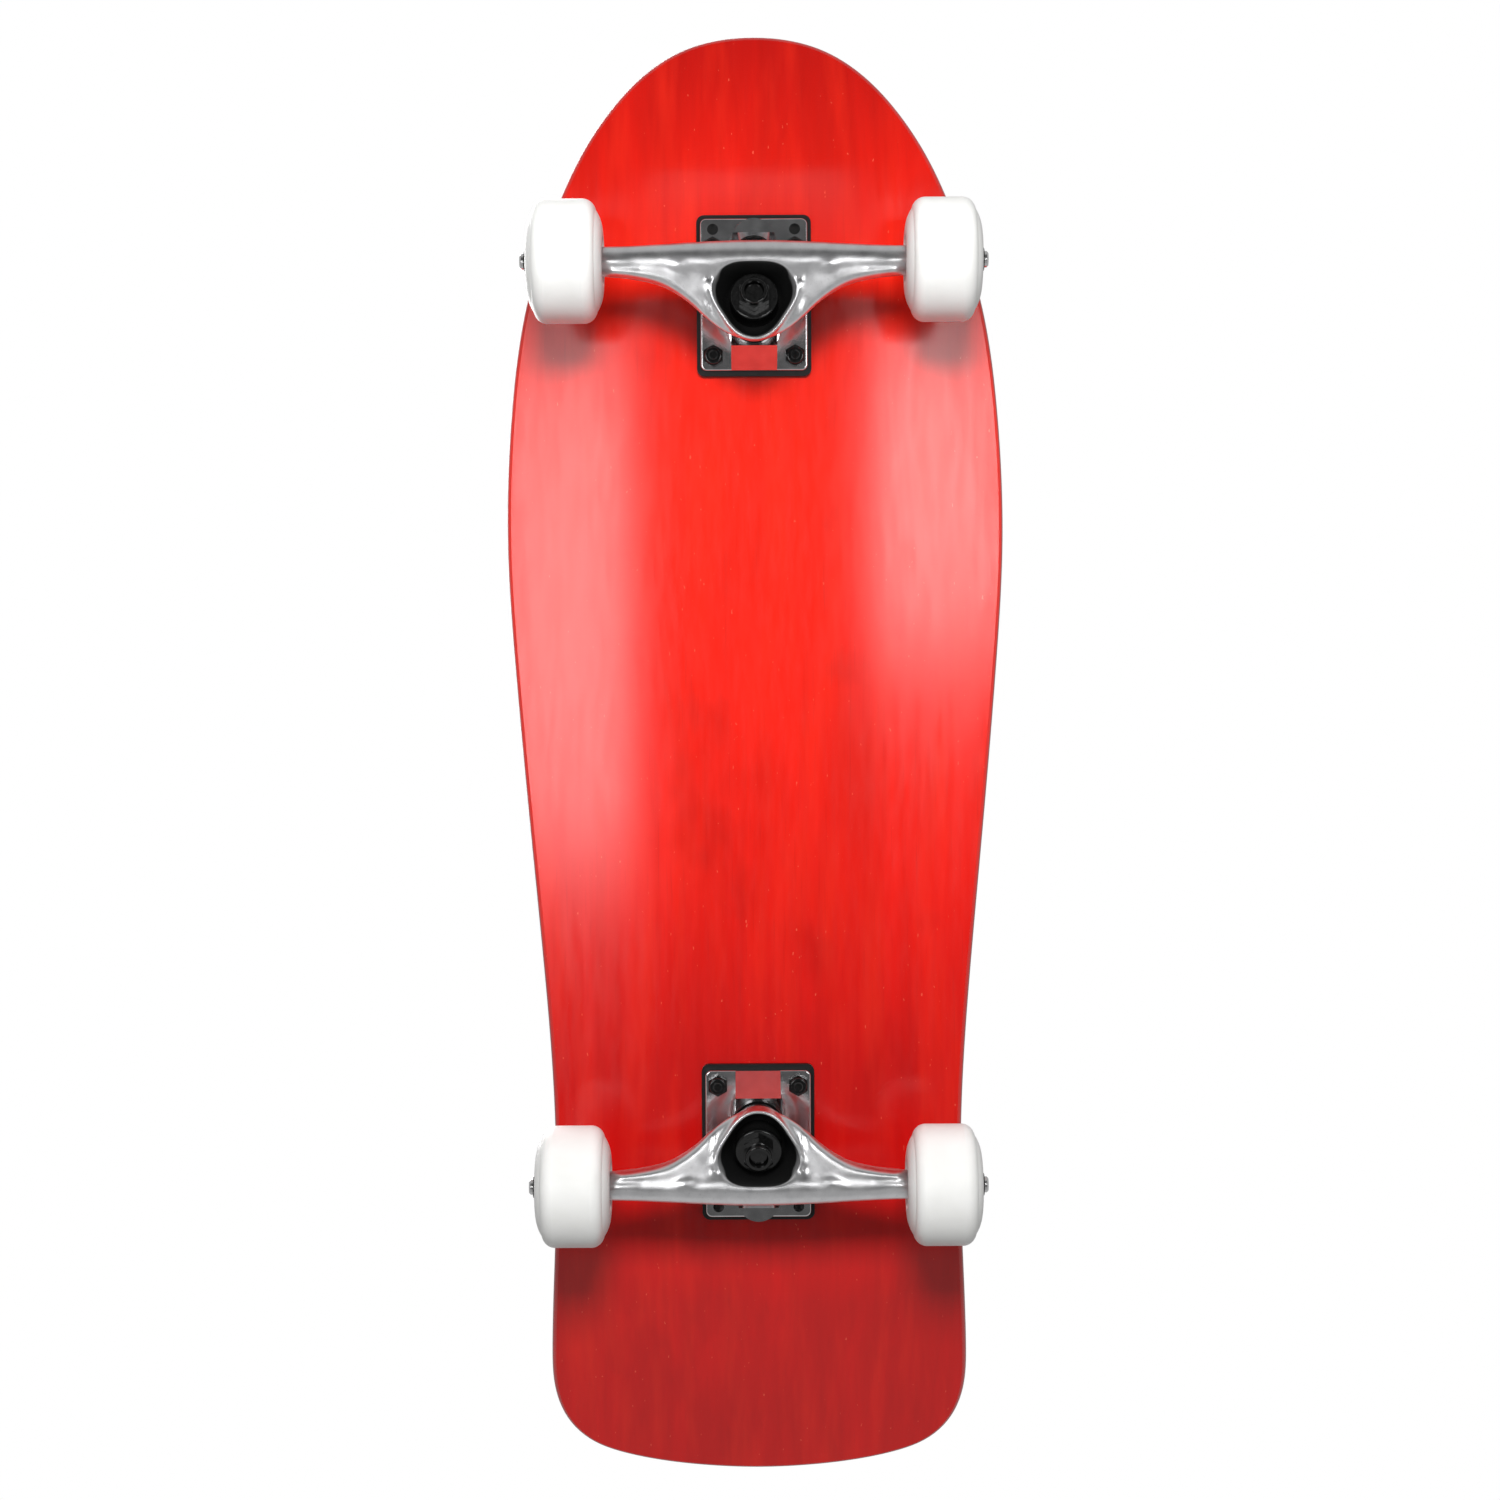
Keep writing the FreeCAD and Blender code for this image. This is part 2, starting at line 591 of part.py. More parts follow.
def kingpin_nut():
    nut = lock_nut(KINGPIN_NUT_FLATS, KINGPIN_NUT_HEX, KINGPIN_NUT_COLLAR, KINGPIN_RADIUS)
    nut.translate(FreeCAD.Vector(0, 0, UPPER_BUSHING_END + UPPER_WASHER_THICKNESS))
    return on_kingpin(nut)


# -------------------------------------------------------------------- hanger
def tube_radius(y):
    """The axle tube is thickest in the middle."""
    part = math.cos(math.pi / 2 * min(abs(y) / WING_REACH[-1][0], 1.0)) ** 2
    return HANGER_END_RADIUS + (HANGER_MIDDLE_RADIUS - HANGER_END_RADIUS) * part


def hanger_section(y, reach):
    """Round tube about the axle with a thinner wing inboard of it."""
    radius = tube_radius(y)
    reach = max(reach, radius + 0.01)
    middle = (radius - reach) / 2
    half = (radius + reach) / 2
    wing = WING_HALF_THICKNESS * (1 - radius / reach)
    steps = 10
    top = []
    for index in range(steps + 1):
        x = middle + half * math.cos(math.pi * index / steps)
        inside = max(1 - (x / radius) ** 2, 0.0)
        tube_height = radius * math.sqrt(inside)
        wing_height = wing * math.sqrt(max(1 - ((x - middle) / half) ** 2, 0.0))
        height = (tube_height ** 3 + wing_height ** 3) ** (1 / 3)
        top.append((x, height))
    points = [FreeCAD.Vector(x, y, AXLE_Z + height) for x, height in top]
    points += [FreeCAD.Vector(x, y, AXLE_Z - height) for x, height in reversed(top[1:-1])]
    return closed_curve(points)


def hanger_wings():
    right = WING_REACH[1:]
    stations = [(-y, reach) for y, reach in reversed(right)] + WING_REACH
    ends = [(-HANGER_HALF_LENGTH, HANGER_END_RADIUS)] + stations
    ends += [(HANGER_HALF_LENGTH, HANGER_END_RADIUS)]
    return Part.makeLoft([hanger_section(y, reach) for y, reach in ends], True, False)


def soft_section(centre, forward, length, width, depth):
    """A closed curve with three soft corners of a depth, one of them inboard."""
    points = []
    for index in range(SECTION_POINTS):
        angle = 2 * math.pi * index / SECTION_POINTS
        radius = 1 + depth * math.cos(3 * angle)
        step = forward * (-radius * math.cos(angle) * length)
        points.append(centre + step + ACROSS * (radius * math.sin(angle) * width))
    return closed_curve(points)


def three_sided(section, lean=0.0):
    """A level section with three soft corners, or one that leans down outboard."""
    x, z, length, width = section
    forward = FreeCAD.Vector(math.cos(math.radians(lean)), 0, -math.sin(math.radians(lean)))
    return soft_section(FreeCAD.Vector(x, 0, z), forward, length, width, CORNER_DEPTH)


def round_curve(centre, forward, radius):
    """A circle drawn like three_sided, so that the two loft together."""
    return soft_section(centre, forward, radius, radius, 0.0)


def yoke_plane(level):
    """A point on the kingpin's axis and the direction outboard across it."""
    lean = math.radians(KINGPIN_LEAN)
    centre = YOKE_CENTRE + kingpin_direction() * level
    return centre, FreeCAD.Vector(math.cos(lean), 0, math.sin(lean))


def yoke_body():
    """The deep cup around the kingpin, from its rim near the floor up to the yoke ring."""
    top_centre, top_forward = yoke_plane(YOKE_TOP)
    top = round_curve(top_centre, top_forward, YOKE_RING_RADIUS)
    return Part.makeLoft([three_sided(YOKE_RIM), three_sided(YOKE_WAIST), top], True, False)


def yoke_recess():
    """The hollow that holds the upper bushing, the cup washer and the nut."""
    floor_centre, floor_forward = yoke_plane(YOKE_SEAT_ROAD)
    floor = round_curve(floor_centre, floor_forward, LOWER_BUSHING_RADIUS + 0.6)
    return Part.makeLoft([three_sided(RECESS_MOUTH), three_sided(RECESS_WAIST), floor], True, False)


def hanger_neck():
    """The arm that carries the pivot nose up past the lower bushing."""
    down = steering_direction()
    tip_forward = FreeCAD.Vector(-down.z, 0, down.x)
    tip = round_curve(PIVOT_CENTRE + down * NECK_START, tip_forward, NECK_RADIUS)
    arm = Part.makeLoft([three_sided(NECK_FOOT), three_sided(NECK_SHIN, NECK_SHIN_LEAN), tip],
                        True, False)
    return arm.cut(on_kingpin(cylinder(LOWER_BUSHING_RADIUS + BUSHING_CLEARANCE, -40, YOKE_TOP)))


def pivot_nose():
    """The ball end that turns in the pivot cup, with a shoulder that runs into the neck."""
    slant = PIVOT_RADIUS * math.sqrt(0.5)
    shoulder = NECK_RADIUS - SHOULDER_STEP
    inside_neck = NECK_START + 4.0
    return on_steering_axis(turned((0, -PIVOT_RADIUS),
                                   [(slant, -slant, PIVOT_RADIUS, 0), (PIVOT_RADIUS, NOSE_END),
                                    (shoulder, SHOULDER_START), (shoulder, inside_neck),
                                    (0, inside_neck)]))


def hanger():
    """One aluminium casting: axle tube, wings, yoke and pivot nose."""
    half = HANGER_COLLAR_LENGTH / 2
    chamfer = 0.5
    small = HANGER_COLLAR_RADIUS - chamfer
    collar = turned((0, -half), [(small, -half), (HANGER_COLLAR_RADIUS, -half + chamfer),
                                 (HANGER_COLLAR_RADIUS, half - chamfer), (small, half),
                                 (0, half)])
    collars = [on_axle(collar, side * (HANGER_HALF_LENGTH - half)) for side in (-1, 1)]
    body = hanger_wings().multiFuse([yoke_body(), hanger_neck(), pivot_nose()] + collars)
    body = body.cut(yoke_recess())
    body = body.cut(on_kingpin(cylinder(YOKE_BORE_RADIUS, YOKE_TOP - 1, YOKE_SEAT_ROAD + 1)))
    seat = cylinder(LOWER_BUSHING_RADIUS + 0.4, YOKE_TOP - 3, YOKE_SEAT_BOARD)
    body = body.cut(on_kingpin(seat))
    bore = cylinder(AXLE_RADIUS + THREAD_GAP, -HANGER_HALF_LENGTH - 1, HANGER_HALF_LENGTH + 1)
    return body.cut(on_axle(bore))


# ----------------------------------------------------------- axle and wheels
def axle():
    chamfer = 0.8
    half = AXLE_HALF_LENGTH
    return on_axle(turned((0, -half), [(AXLE_RADIUS - chamfer, -half),
                                       (AXLE_RADIUS, -half + chamfer),
                                       (AXLE_RADIUS, half - chamfer),
                                       (AXLE_RADIUS - chamfer, half), (0, half)]))


def bearing_middles():
    """y of the four bearings of a truck."""
    middles = []
    for side in (-1, 1):
        for offset in (-BEARING_CENTRE, BEARING_CENTRE):
            middles.append(side * WHEEL_CENTRE + offset)
    return middles


def groove_profile(edge, sign):
    """Half width and depth of a ball groove that breaks out at a radius."""
    groove = BALL_RADIUS + GROOVE_CLEARANCE
    off_pitch = abs(BALL_PITCH_RADIUS - edge)
    half = math.sqrt(groove ** 2 - off_pitch ** 2)
    return half, BALL_PITCH_RADIUS + sign * groove


def inner_ring():
    half, deep = groove_profile(INNER_RING_RADIUS, -1)
    side = BEARING_WIDTH / 2
    return turned((BEARING_BORE_RADIUS, -side),
                  [(INNER_RING_RADIUS, -side), (INNER_RING_RADIUS, -half),
                   (deep, 0, INNER_RING_RADIUS, half), (INNER_RING_RADIUS, side),
                   (BEARING_BORE_RADIUS, side)])


def outer_ring():
    half, deep = groove_profile(OUTER_RING_INNER_RADIUS, 1)
    side = BEARING_WIDTH / 2
    chamfer = 0.4
    inner = OUTER_RING_INNER_RADIUS
    outer = BEARING_OUTER_RADIUS
    return turned((inner, -side),
                  [(outer - chamfer, -side), (outer, -side + chamfer),
                   (outer, side - chamfer), (outer - chamfer, side),
                   (inner, side), (inner, half), (deep, 0, inner, -half)])


def ball_ring(radius):
    """A ring of balls about Z."""
    balls = []
    for index in range(BALL_COUNT):
        angle = 2 * math.pi * index / BALL_COUNT
        place = FreeCAD.Vector(BALL_PITCH_RADIUS * math.cos(angle),
                               BALL_PITCH_RADIUS * math.sin(angle), 0)
        balls.append(Part.makeSphere(radius, place))
    return Part.makeCompound(balls)


def retainer():
    """Crown cage: a thin ring on one side of the balls, with fingers between them."""
    crown = ring(BALL_PITCH_RADIUS - RETAINER_HALF_WIDTH, BALL_PITCH_RADIUS + RETAINER_HALF_WIDTH,
                 -RETAINER_HALF_WIDTH, RETAINER_BACK)
    return crown.cut(ball_ring(BALL_RADIUS + 0.1))


def shield_pair():
    """The two thin covers of a bearing, just inside its faces."""
    outside = BEARING_WIDTH / 2 - SHIELD_INSET
    inside = outside - SHIELD_THICKNESS
    bore = INNER_RING_RADIUS + SHIELD_INSET
    return Part.makeCompound([ring(bore, OUTER_RING_INNER_RADIUS, -outside, -inside),
                              ring(bore, OUTER_RING_INNER_RADIUS, inside, outside)])


def wheel():
    """Urethane wheel with rounded sides and a seat for a bearing on each side."""
    seat_floor = BEARING_CENTRE - BEARING_WIDTH / 2
    half = WHEEL_HALF_WIDTH
    tread = TREAD_HALF_WIDTH
    seat = BEARING_OUTER_RADIUS
    core = WHEEL_CORE_RADIUS
    edge = half - SEAT_EDGE_DEPTH
    corner, corner_y = WHEEL_CORNER
    corner_end, corner_end_y = WHEEL_CORNER_END
    face, face_y = WHEEL_FACE
    return turned((WHEEL_RADIUS, -tread), [
        (WHEEL_RADIUS, tread), (corner, corner_y, corner_end, corner_end_y),
        (face, face_y, WHEEL_FACE_RADIUS, half), (SEAT_EDGE_RADIUS, half),
        (seat, edge), (seat, seat_floor), (core, seat_floor),
        (core, -seat_floor), (seat, -seat_floor), (seat, -edge),
        (SEAT_EDGE_RADIUS, -half), (WHEEL_FACE_RADIUS, -half),
        (face, -face_y, corner_end, -corner_end_y), (corner, -corner_y, WHEEL_RADIUS, -tread)])


def grouped(shape, places):
    return Part.makeCompound([on_axle(shape, y) for y in places])


def axle_nuts():
    nut = lock_nut(AXLE_NUT_FLATS, AXLE_NUT_HEX, AXLE_NUT_COLLAR, AXLE_RADIUS)
    start = WHEEL_CENTRE + BEARING_CENTRE + BEARING_WIDTH / 2 + SPEED_WASHER_THICKNESS
    nut.translate(FreeCAD.Vector(0, 0, start))
    mirrored = nut.mirror(ORIGIN, UP)
    return Part.makeCompound([on_axle(nut), on_axle(mirrored)])


def speed_washers():
    washer = ring(BEARING_BORE_RADIUS + 0.1, SPEED_WASHER_RADIUS, -SPEED_WASHER_THICKNESS / 2,
                  SPEED_WASHER_THICKNESS / 2)
    reach = BEARING_CENTRE + BEARING_WIDTH / 2 + SPEED_WASHER_THICKNESS / 2
    places = []
    for side in (-1, 1):
        places += [side * WHEEL_CENTRE - reach, side * WHEEL_CENTRE + reach]
    return grouped(washer, places)


def bearing_spacers():
    half = BEARING_CENTRE - BEARING_WIDTH / 2
    spacer = ring(BEARING_BORE_RADIUS + 0.1, SPACER_RADIUS, -half, half)
    return grouped(spacer, [-WHEEL_CENTRE, WHEEL_CENTRE])


def build_truck():
    """Every piece of one truck but its wheels, in the truck's frame."""
    return {
        "riser": riser(),
        "baseplate": baseplate(),
        "pivot_cup": pivot_cup(),
        "kingpin": kingpin(),
        "kingpin_nut": kingpin_nut(),
        "lower_washer": lower_washer(),
        "lower_bushing": lower_bushing(),
        "upper_bushing": upper_bushing(),
        "upper_washer": upper_washer(),
        "hanger": hanger(),
        "axle": axle(),
        "axle_nuts": axle_nuts(),
        "speed_washers": speed_washers(),
        "bearing_inner_rings": grouped(inner_ring(), bearing_middles()),
        "bearing_spacers": bearing_spacers(),
    }


def build_wheel():
    """A wheel in the middle of the axle, with the parts of its two bearings that turn."""
    places = [-BEARING_CENTRE, BEARING_CENTRE]
    return {
        "wheel": on_axle(wheel()),
        "bearing_outer_rings": grouped(outer_ring(), places),
        "bearing_shields": grouped(shield_pair(), places),
        "bearing_balls": grouped(ball_ring(BALL_RADIUS), places),
        "bearing_retainers": grouped(retainer(), places),
    }


def flatten(shape):
    """Groups of groups become one group of solids."""
    solids = shape.Solids
    return solids[0] if len(solids) == 1 else Part.makeCompound(solids)


def build_all():
    middle = FreeCAD.Vector(deck_middle(), 0, 0)
    nodes = {}
    for name, shape in {**build_deck(), **build_hardware()}.items():
        nodes[name] = shape.translated(middle)
    truck = build_truck()
    wheel_pieces = build_wheel()
    for end, end_name in ((1, "front"), (-1, "rear")):
        place = middle + FreeCAD.Vector(end * AXLE_X, 0, 0)
        for name, shape in truck.items():
            facing = shape if end > 0 else shape.rotated(ORIGIN, UP, 180)
            nodes["%s_%s" % (end_name, name)] = facing.translated(place)
        for side, side_name in ((1, "left"), (-1, "right")):
            hub = place + FreeCAD.Vector(0, side * WHEEL_CENTRE, 0)
            for name, shape in wheel_pieces.items():
                nodes["%s_%s_%s" % (end_name, side_name, name)] = shape.translated(hub)
    return nodes


def write_all(nodes):
    os.makedirs("parts", exist_ok=True)
    for name, shape in nodes.items():
        flatten(shape).exportStep("parts/%s.step" % name)


write_all(build_all())
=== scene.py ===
import json
import math

import bmesh
import bpy
import numpy as np
from mathutils import Matrix, Vector


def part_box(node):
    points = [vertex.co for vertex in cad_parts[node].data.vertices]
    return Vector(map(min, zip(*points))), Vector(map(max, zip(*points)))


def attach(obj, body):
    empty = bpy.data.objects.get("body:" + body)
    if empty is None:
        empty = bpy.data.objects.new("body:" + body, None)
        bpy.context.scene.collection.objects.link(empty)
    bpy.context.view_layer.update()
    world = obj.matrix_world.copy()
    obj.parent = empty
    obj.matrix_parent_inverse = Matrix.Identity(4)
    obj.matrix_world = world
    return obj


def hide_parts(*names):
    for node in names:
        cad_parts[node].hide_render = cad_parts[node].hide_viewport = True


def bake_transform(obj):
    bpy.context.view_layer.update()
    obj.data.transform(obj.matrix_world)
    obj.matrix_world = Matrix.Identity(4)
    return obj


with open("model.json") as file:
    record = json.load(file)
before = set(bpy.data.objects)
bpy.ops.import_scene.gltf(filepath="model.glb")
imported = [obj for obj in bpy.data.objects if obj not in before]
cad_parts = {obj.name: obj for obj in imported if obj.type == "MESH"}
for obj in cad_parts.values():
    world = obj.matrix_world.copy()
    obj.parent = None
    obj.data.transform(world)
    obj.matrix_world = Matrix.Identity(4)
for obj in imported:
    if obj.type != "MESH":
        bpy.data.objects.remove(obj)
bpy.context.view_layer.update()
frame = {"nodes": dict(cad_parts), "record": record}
NODES = frame["nodes"]

# ------------------------------------------------------------- sizes, metres
MM = 0.001
ENDS = ("front", "rear")

# Deck: the same bent and dished sheet as the CAD plies
PLY_COUNT = 7
PLY_THICKNESS = 1.5 * MM
DECK_THICKNESS = PLY_COUNT * PLY_THICKNESS
DECK_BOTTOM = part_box("front_riser")[1].z
FLAT_HALF_WIDTH = 30 * MM
CONCAVE_RADIUS = 527 * MM
EDGE_ROUNDING = 6 * MM
OUTLINE_ROWS = 260
OUTER_PLY_COLUMNS = 48
INNER_PLY_COLUMNS = 10
NOSE_BEND = (265 * MM, 150 * MM, math.radians(13))
TAIL_BEND = (262 * MM, 130 * MM, math.radians(19))

# Distance along the flat sheet from its middle, and half width, from the nose to the tail
HALF_OUTLINE_MM = [
    (351.5, 0.0), (345.0, 34.5), (333.7, 53.0), (314.4, 71.6), (289.0, 88.0), (258.0, 102.0),
    (215.0, 116.0), (155.0, 124.9), (93.5, 127.4), (31.7, 124.3), (-46.0, 117.9),
    (-125.0, 110.8), (-202.7, 105.8), (-277.0, 106.5), (-337.5, 109.6),
    (-364.0, 108.4), (-382.0, 101.5), (-393.5, 89.8), (-400.5, 72.0), (-406.0, 42.0),
    (-409.0, 0.0),
]

# Edges sharper than this many degrees keep their crease
SHARP_RUBBER = 40
SHARP_VENEER = 50
SHARP_METAL = 35

# Places read from the frame
AXLE_Z = sum(corner.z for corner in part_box("front_axle")) / 2
AXLES_X = {end: sum(corner.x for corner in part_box(end + "_axle")) / 2 for end in ENDS}
MIDDLE_X = sum(AXLES_X.values()) / 2

# Trucks, from the axle outboard and up from the floor. Along the kingpin, 0 is the yoke
YOKE_X = -21 * MM
YOKE_Z = 42 * MM
KINGPIN_LEAN = math.radians(14)
BUSHING_HOLE = 5 * MM
BUSHING_RADIUS = 12 * MM
UPPER_BUSHING_END = 9.7 * MM
UPPER_BUSHING_CORNER = 0.5 * MM
BUSHING_BULGE = 0.8 * MM
BUSHING_STEPS = 12
CONE_STEPS = 9
CONE_CURVE = 1.6
LOWER_BUSHING = (-17.5 * MM, -3.5 * MM)
UPPER_BUSHING = (3 * MM, 13.5 * MM)

# Axle tube and wings. The reach is (distance across, distance inboard of the axle)
HANGER_HALF_LENGTH = 79 * MM
HANGER_END_RADIUS = 7 * MM
HANGER_MIDDLE_RADIUS = 9.9 * MM
WING_ROOT_HEIGHT = 8.2 * MM
WING_FALL = 0.17
WING_LEAST_HEIGHT = 2 * MM
WING_EDGE = 3 * MM
WING_FULL_SHARE = 0.9
WING_FADE = 10 * MM
WING_START = 23 * MM
WING_END_GAP = 0.2 * MM
WING_BLEND = 6
WING_COVER = 0.15 * MM
WING_REACH_MM = [(0, 39), (14.6, 34.6), (22.5, 28.8), (30.5, 21.4), (43, 13.2), (57.5, 9.2),
                 (76, 7.4), (79, 7.2)]
WING_STATIONS = 64
WING_CORNERS = 48

# The recess darkened to near black as painted shade: middle outboard of the axle, height, half length
# and half width
RECESS_MOUTH = (-16.9 * MM, 19 * MM, 17.6 * MM, 20.0 * MM)
RECESS_WAIST = (-19.4 * MM, 31 * MM, 15.2 * MM, 17.0 * MM)
RECESS_CORNERS = 3.0
RECESS_CORNER_REACH = 0.1
RECESS_SHADE_BORDER = 1 * MM

# Bevels on the CAD's sharp edges
PLATE_BEVEL = 0.5 * MM
KINGPIN_NUT_BEVEL = 0.25 * MM
MOUNTING_NUT_BEVEL = 0.2 * MM

# The castings' edges are melted by this grid and then smoothed
MELT_GRID = 0.75 * MM
MELT_SMOOTHINGS = 30


# Studio
SOFT_BOX_Z = -1.30
FLOOR_HALF = 6.0


# ------------------------------------------------------------ node shorthand
class Shader:
    """A material being built: its node tree and its main shader."""

    def __init__(self, name):
        self.material = bpy.data.materials.new(name)
        self.material.use_nodes = True
        self.tree = self.material.node_tree
        self.main = self.tree.nodes["Principled BSDF"]
        coordinates = self.add("ShaderNodeTexCoord")
        self.place = coordinates.outputs["Object"]

    def add(self, kind, **settings):
        node = self.tree.nodes.new(kind)
        for key, value in settings.items():
            setattr(node, key, value)
        return node

    def join(self, source, target):
        self.tree.links.new(source, target)

    def set(self, **values):
        """Numbers on the main shader's own sockets, by name with _ for a space."""
        for key, value in values.items():
            self.main.inputs[key.replace("_", " ")].default_value = value

    def stretched(self, scale, shift=(0, 0, 0)):
        mapping = self.add("ShaderNodeMapping")
        mapping.inputs["Scale"].default_value = scale
        mapping.inputs["Location"].default_value = shift
        self.join(self.place, mapping.inputs["Vector"])
        return mapping.outputs["Vector"]

    def noise(self, scale=1.0, detail=4.0, roughness=0.5, vector=None, distortion=0.0):
        node = self.add("ShaderNodeTexNoise")
        node.inputs["Scale"].default_value = scale
        node.inputs["Detail"].default_value = detail
        node.inputs["Roughness"].default_value = roughness
        node.inputs["Distortion"].default_value = distortion
        self.join(vector or self.place, node.inputs["Vector"])
        return node.outputs["Fac"]

    def ramp(self, value, stops):
        """A colour ramp. stops are (position, colour), a colour being one grey or three numbers."""
        node = self.add("ShaderNodeValToRGB")
        elements = node.color_ramp.elements
        while len(elements) < len(stops):
            elements.new(0.5)
        for element, (position, colour) in zip(elements, stops):
            element.position = position
            rgb = (colour,) * 3 if isinstance(colour, (int, float)) else colour
            element.color = (*rgb, 1)
        self.join(value, node.inputs["Fac"])
        return node.outputs["Color"]

    def span(self, value, low, high, out_low=0.0, out_high=1.0):
        node = self.add("ShaderNodeMapRange")
        for key, number in (("From Min", low), ("From Max", high),
                            ("To Min", out_low), ("To Max", out_high)):
            node.inputs[key].default_value = number
        self.join(value, node.inputs["Value"])
        return node.outputs["Result"]

    def mix(self, factor, first, second, blend="MIX"):
        """Blends two colours. Each argument is a socket or a plain value."""
        node = self.add("ShaderNodeMix", data_type="RGBA", blend_type=blend)
        for index, value in ((0, factor), (6, first), (7, second)):
            if isinstance(value, bpy.types.NodeSocket):
                self.join(value, node.inputs[index])
            elif index == 0:
                node.inputs[index].default_value = value
            else:
                node.inputs[index].default_value = (*value, 1)
        return node.outputs[2]

    def math(self, operation, first, second=0.0):
        node = self.add("ShaderNodeMath", operation=operation)
        for index, value in enumerate((first, second)):
            if isinstance(value, bpy.types.NodeSocket):
                self.join(value, node.inputs[index])
            else:
                node.inputs[index].default_value = value
        return node.outputs[0]

    def axis(self, name):
        node = self.add("ShaderNodeSeparateXYZ")
        self.join(self.place, node.inputs[0])
        return node.outputs[name]

    def colour(self, socket):
        self.join(socket, self.main.inputs["Base Color"])

    def rough(self, socket):
        self.join(socket, self.main.inputs["Roughness"])

    def bump(self, height, strength, distance):
        node = self.add("ShaderNodeBump")
        node.inputs["Strength"].default_value = strength
        node.inputs["Distance"].default_value = distance
        self.join(height, node.inputs["Height"])
        self.join(node.outputs["Normal"], self.main.inputs["Normal"])


# ----------------------------------------------------------------- materials
def stained_maple_and_painted_light():
    """Red stain over maple, lightest forward of the middle and darker towards nose and tail as painted
    light and shade: long grain, soft blotches, pale flecks, under a satin lacquer.
    """
    shader = Shader("red_stained_maple")
    # Painted light and shade: the red is lightest a little forward of the middle and darker towards nose
    # and tail, following how the lamps fall off along the board.
    lengthwise = shader.span(shader.axis("X"), -0.38, 0.38)
    base = shader.ramp(lengthwise, [(0.0, (0.58, 0.004, 0.003)), (0.30, (0.54, 0.004, 0.003)),
                                    (0.43, (0.76, 0.008, 0.003)), (0.70, (0.88, 0.016, 0.005)),
                                    (0.84, (0.70, 0.010, 0.003)), (1.0, (0.42, 0.004, 0.002))])
    streaks = shader.noise(1.0, 6.0, 0.6, shader.stretched((4, 150, 60)), 0.3)
    streak_tone = shader.span(streaks, 0.30, 0.72, 0.93, 1.05)
    figure = shader.noise(1.0, 4.0, 0.55, shader.stretched((5.0, 24, 10), (3.1, 0.7, 0)), 1.4)
    figure_tone = shader.span(figure, 0.32, 0.70, 0.90, 1.08)
    blotches = shader.noise(1.0, 3.0, 0.5, shader.stretched((14, 22, 9), (0.4, 2.0, 0)))
    blotch_tone = shader.span(blotches, 0.60, 0.78, 1.0, 0.80)
    tone = shader.math("MULTIPLY", streak_tone, figure_tone)
    tone = shader.math("MULTIPLY", tone, blotch_tone)
    toned = shader.mix(1.0, base, shader.ramp(shader.span(tone, 0.0, 2.0), [(0, 0.0), (1, 2.0)]),
                       "MULTIPLY")
    glow_noise = shader.noise(1.0, 3.0, 0.6, shader.stretched((9, 60, 9), (7.0, 1.0, 0)))
    glow = shader.span(glow_noise, 0.48, 0.72, 0.0, 0.25)
    toned = shader.mix(glow, toned, (0.90, 0.030, 0.010))
    grain_dark = shader.noise(1.0, 2.0, 0.5, shader.stretched((30, 900, 400), (1, 5, 0)))
    grain = shader.span(grain_dark, 0.62, 0.75, 0.0, 0.16)
    toned = shader.mix(grain, toned, (0.36, 0.006, 0.004))
    fleck_noise = shader.noise(1.0, 1.0, 0.5, shader.stretched((300, 620, 400)))
    flecks = shader.span(fleck_noise, 0.765, 0.80, 0.0, 0.40)
    shader.colour(shader.mix(flecks, toned, (0.95, 0.16, 0.09)))
    satin = shader.noise(1.0, 5.0, 0.6, shader.stretched((40, 260, 60)))
    shader.rough(shader.span(satin, 0.3, 0.7, 0.15, 0.23))
    pores = shader.noise(1.0, 3.0, 0.6, shader.stretched((90, 1600, 400)))
    shader.bump(pores, 0.05, 0.0002)
    shader.set(IOR=1.5)
    return shader.material


def stained_edge(index):
    """The rim of one veneer: stained darker, each layer a little different."""
    shader = Shader("stained_edge_%d" % index)
    fibres = shader.noise(1.0, 5.0, 0.6, shader.stretched((260, 260, 2600), (index * 1.7, 0, 0)))
    light = 1.0 if index % 2 else 0.72
    low = (0.26 * light, 0.006 * light, 0.004 * light)
    high = (0.50 * light, 0.016 * light, 0.009 * light)
    shader.colour(shader.ramp(shader.span(fibres, 0.3, 0.7), [(0, low), (1, high)]))
    shader.bump(fibres, 0.25, 0.0002)
    shader.set(Roughness=0.42, Coat_Weight=0.3, Coat_Roughness=0.3)
    return shader.material


def grip_sheet():
    """Black abrasive grit."""
    shader = Shader("grip")
    grit = shader.noise(2600.0, 2.0, 0.7)
    tone = shader.ramp(grit, [(0.35, 0.004), (0.62, 0.018), (0.78, 0.09)])
    shader.colour(tone)
    shader.bump(grit, 0.9, 0.0004)
    shader.set(Roughness=0.85)
    return shader.material


def polished_casting():
    """Tumbled and buffed aluminium with fine pits."""
    shader = Shader("polished_aluminium")
    cloud = shader.noise(120.0, 4.0, 0.6)
    base = shader.ramp(cloud, [(0.3, (0.56, 0.56, 0.57)), (0.7, (0.68, 0.68, 0.69))])
    pits = shader.noise(800.0, 3.0, 0.6)
    pit = shader.span(pits, 0.66, 0.74, 0.0, 0.45)
    shader.colour(shader.mix(pit, base, (0.28, 0.28, 0.30)))
    shader.rough(shader.span(cloud, 0.3, 0.7, 0.09, 0.16))
    ripple = shader.noise(420.0, 3.0, 0.55)
    shader.bump(ripple, 0.04, 0.0005)
    shader.set(Metallic=1.0)
    return shader.material


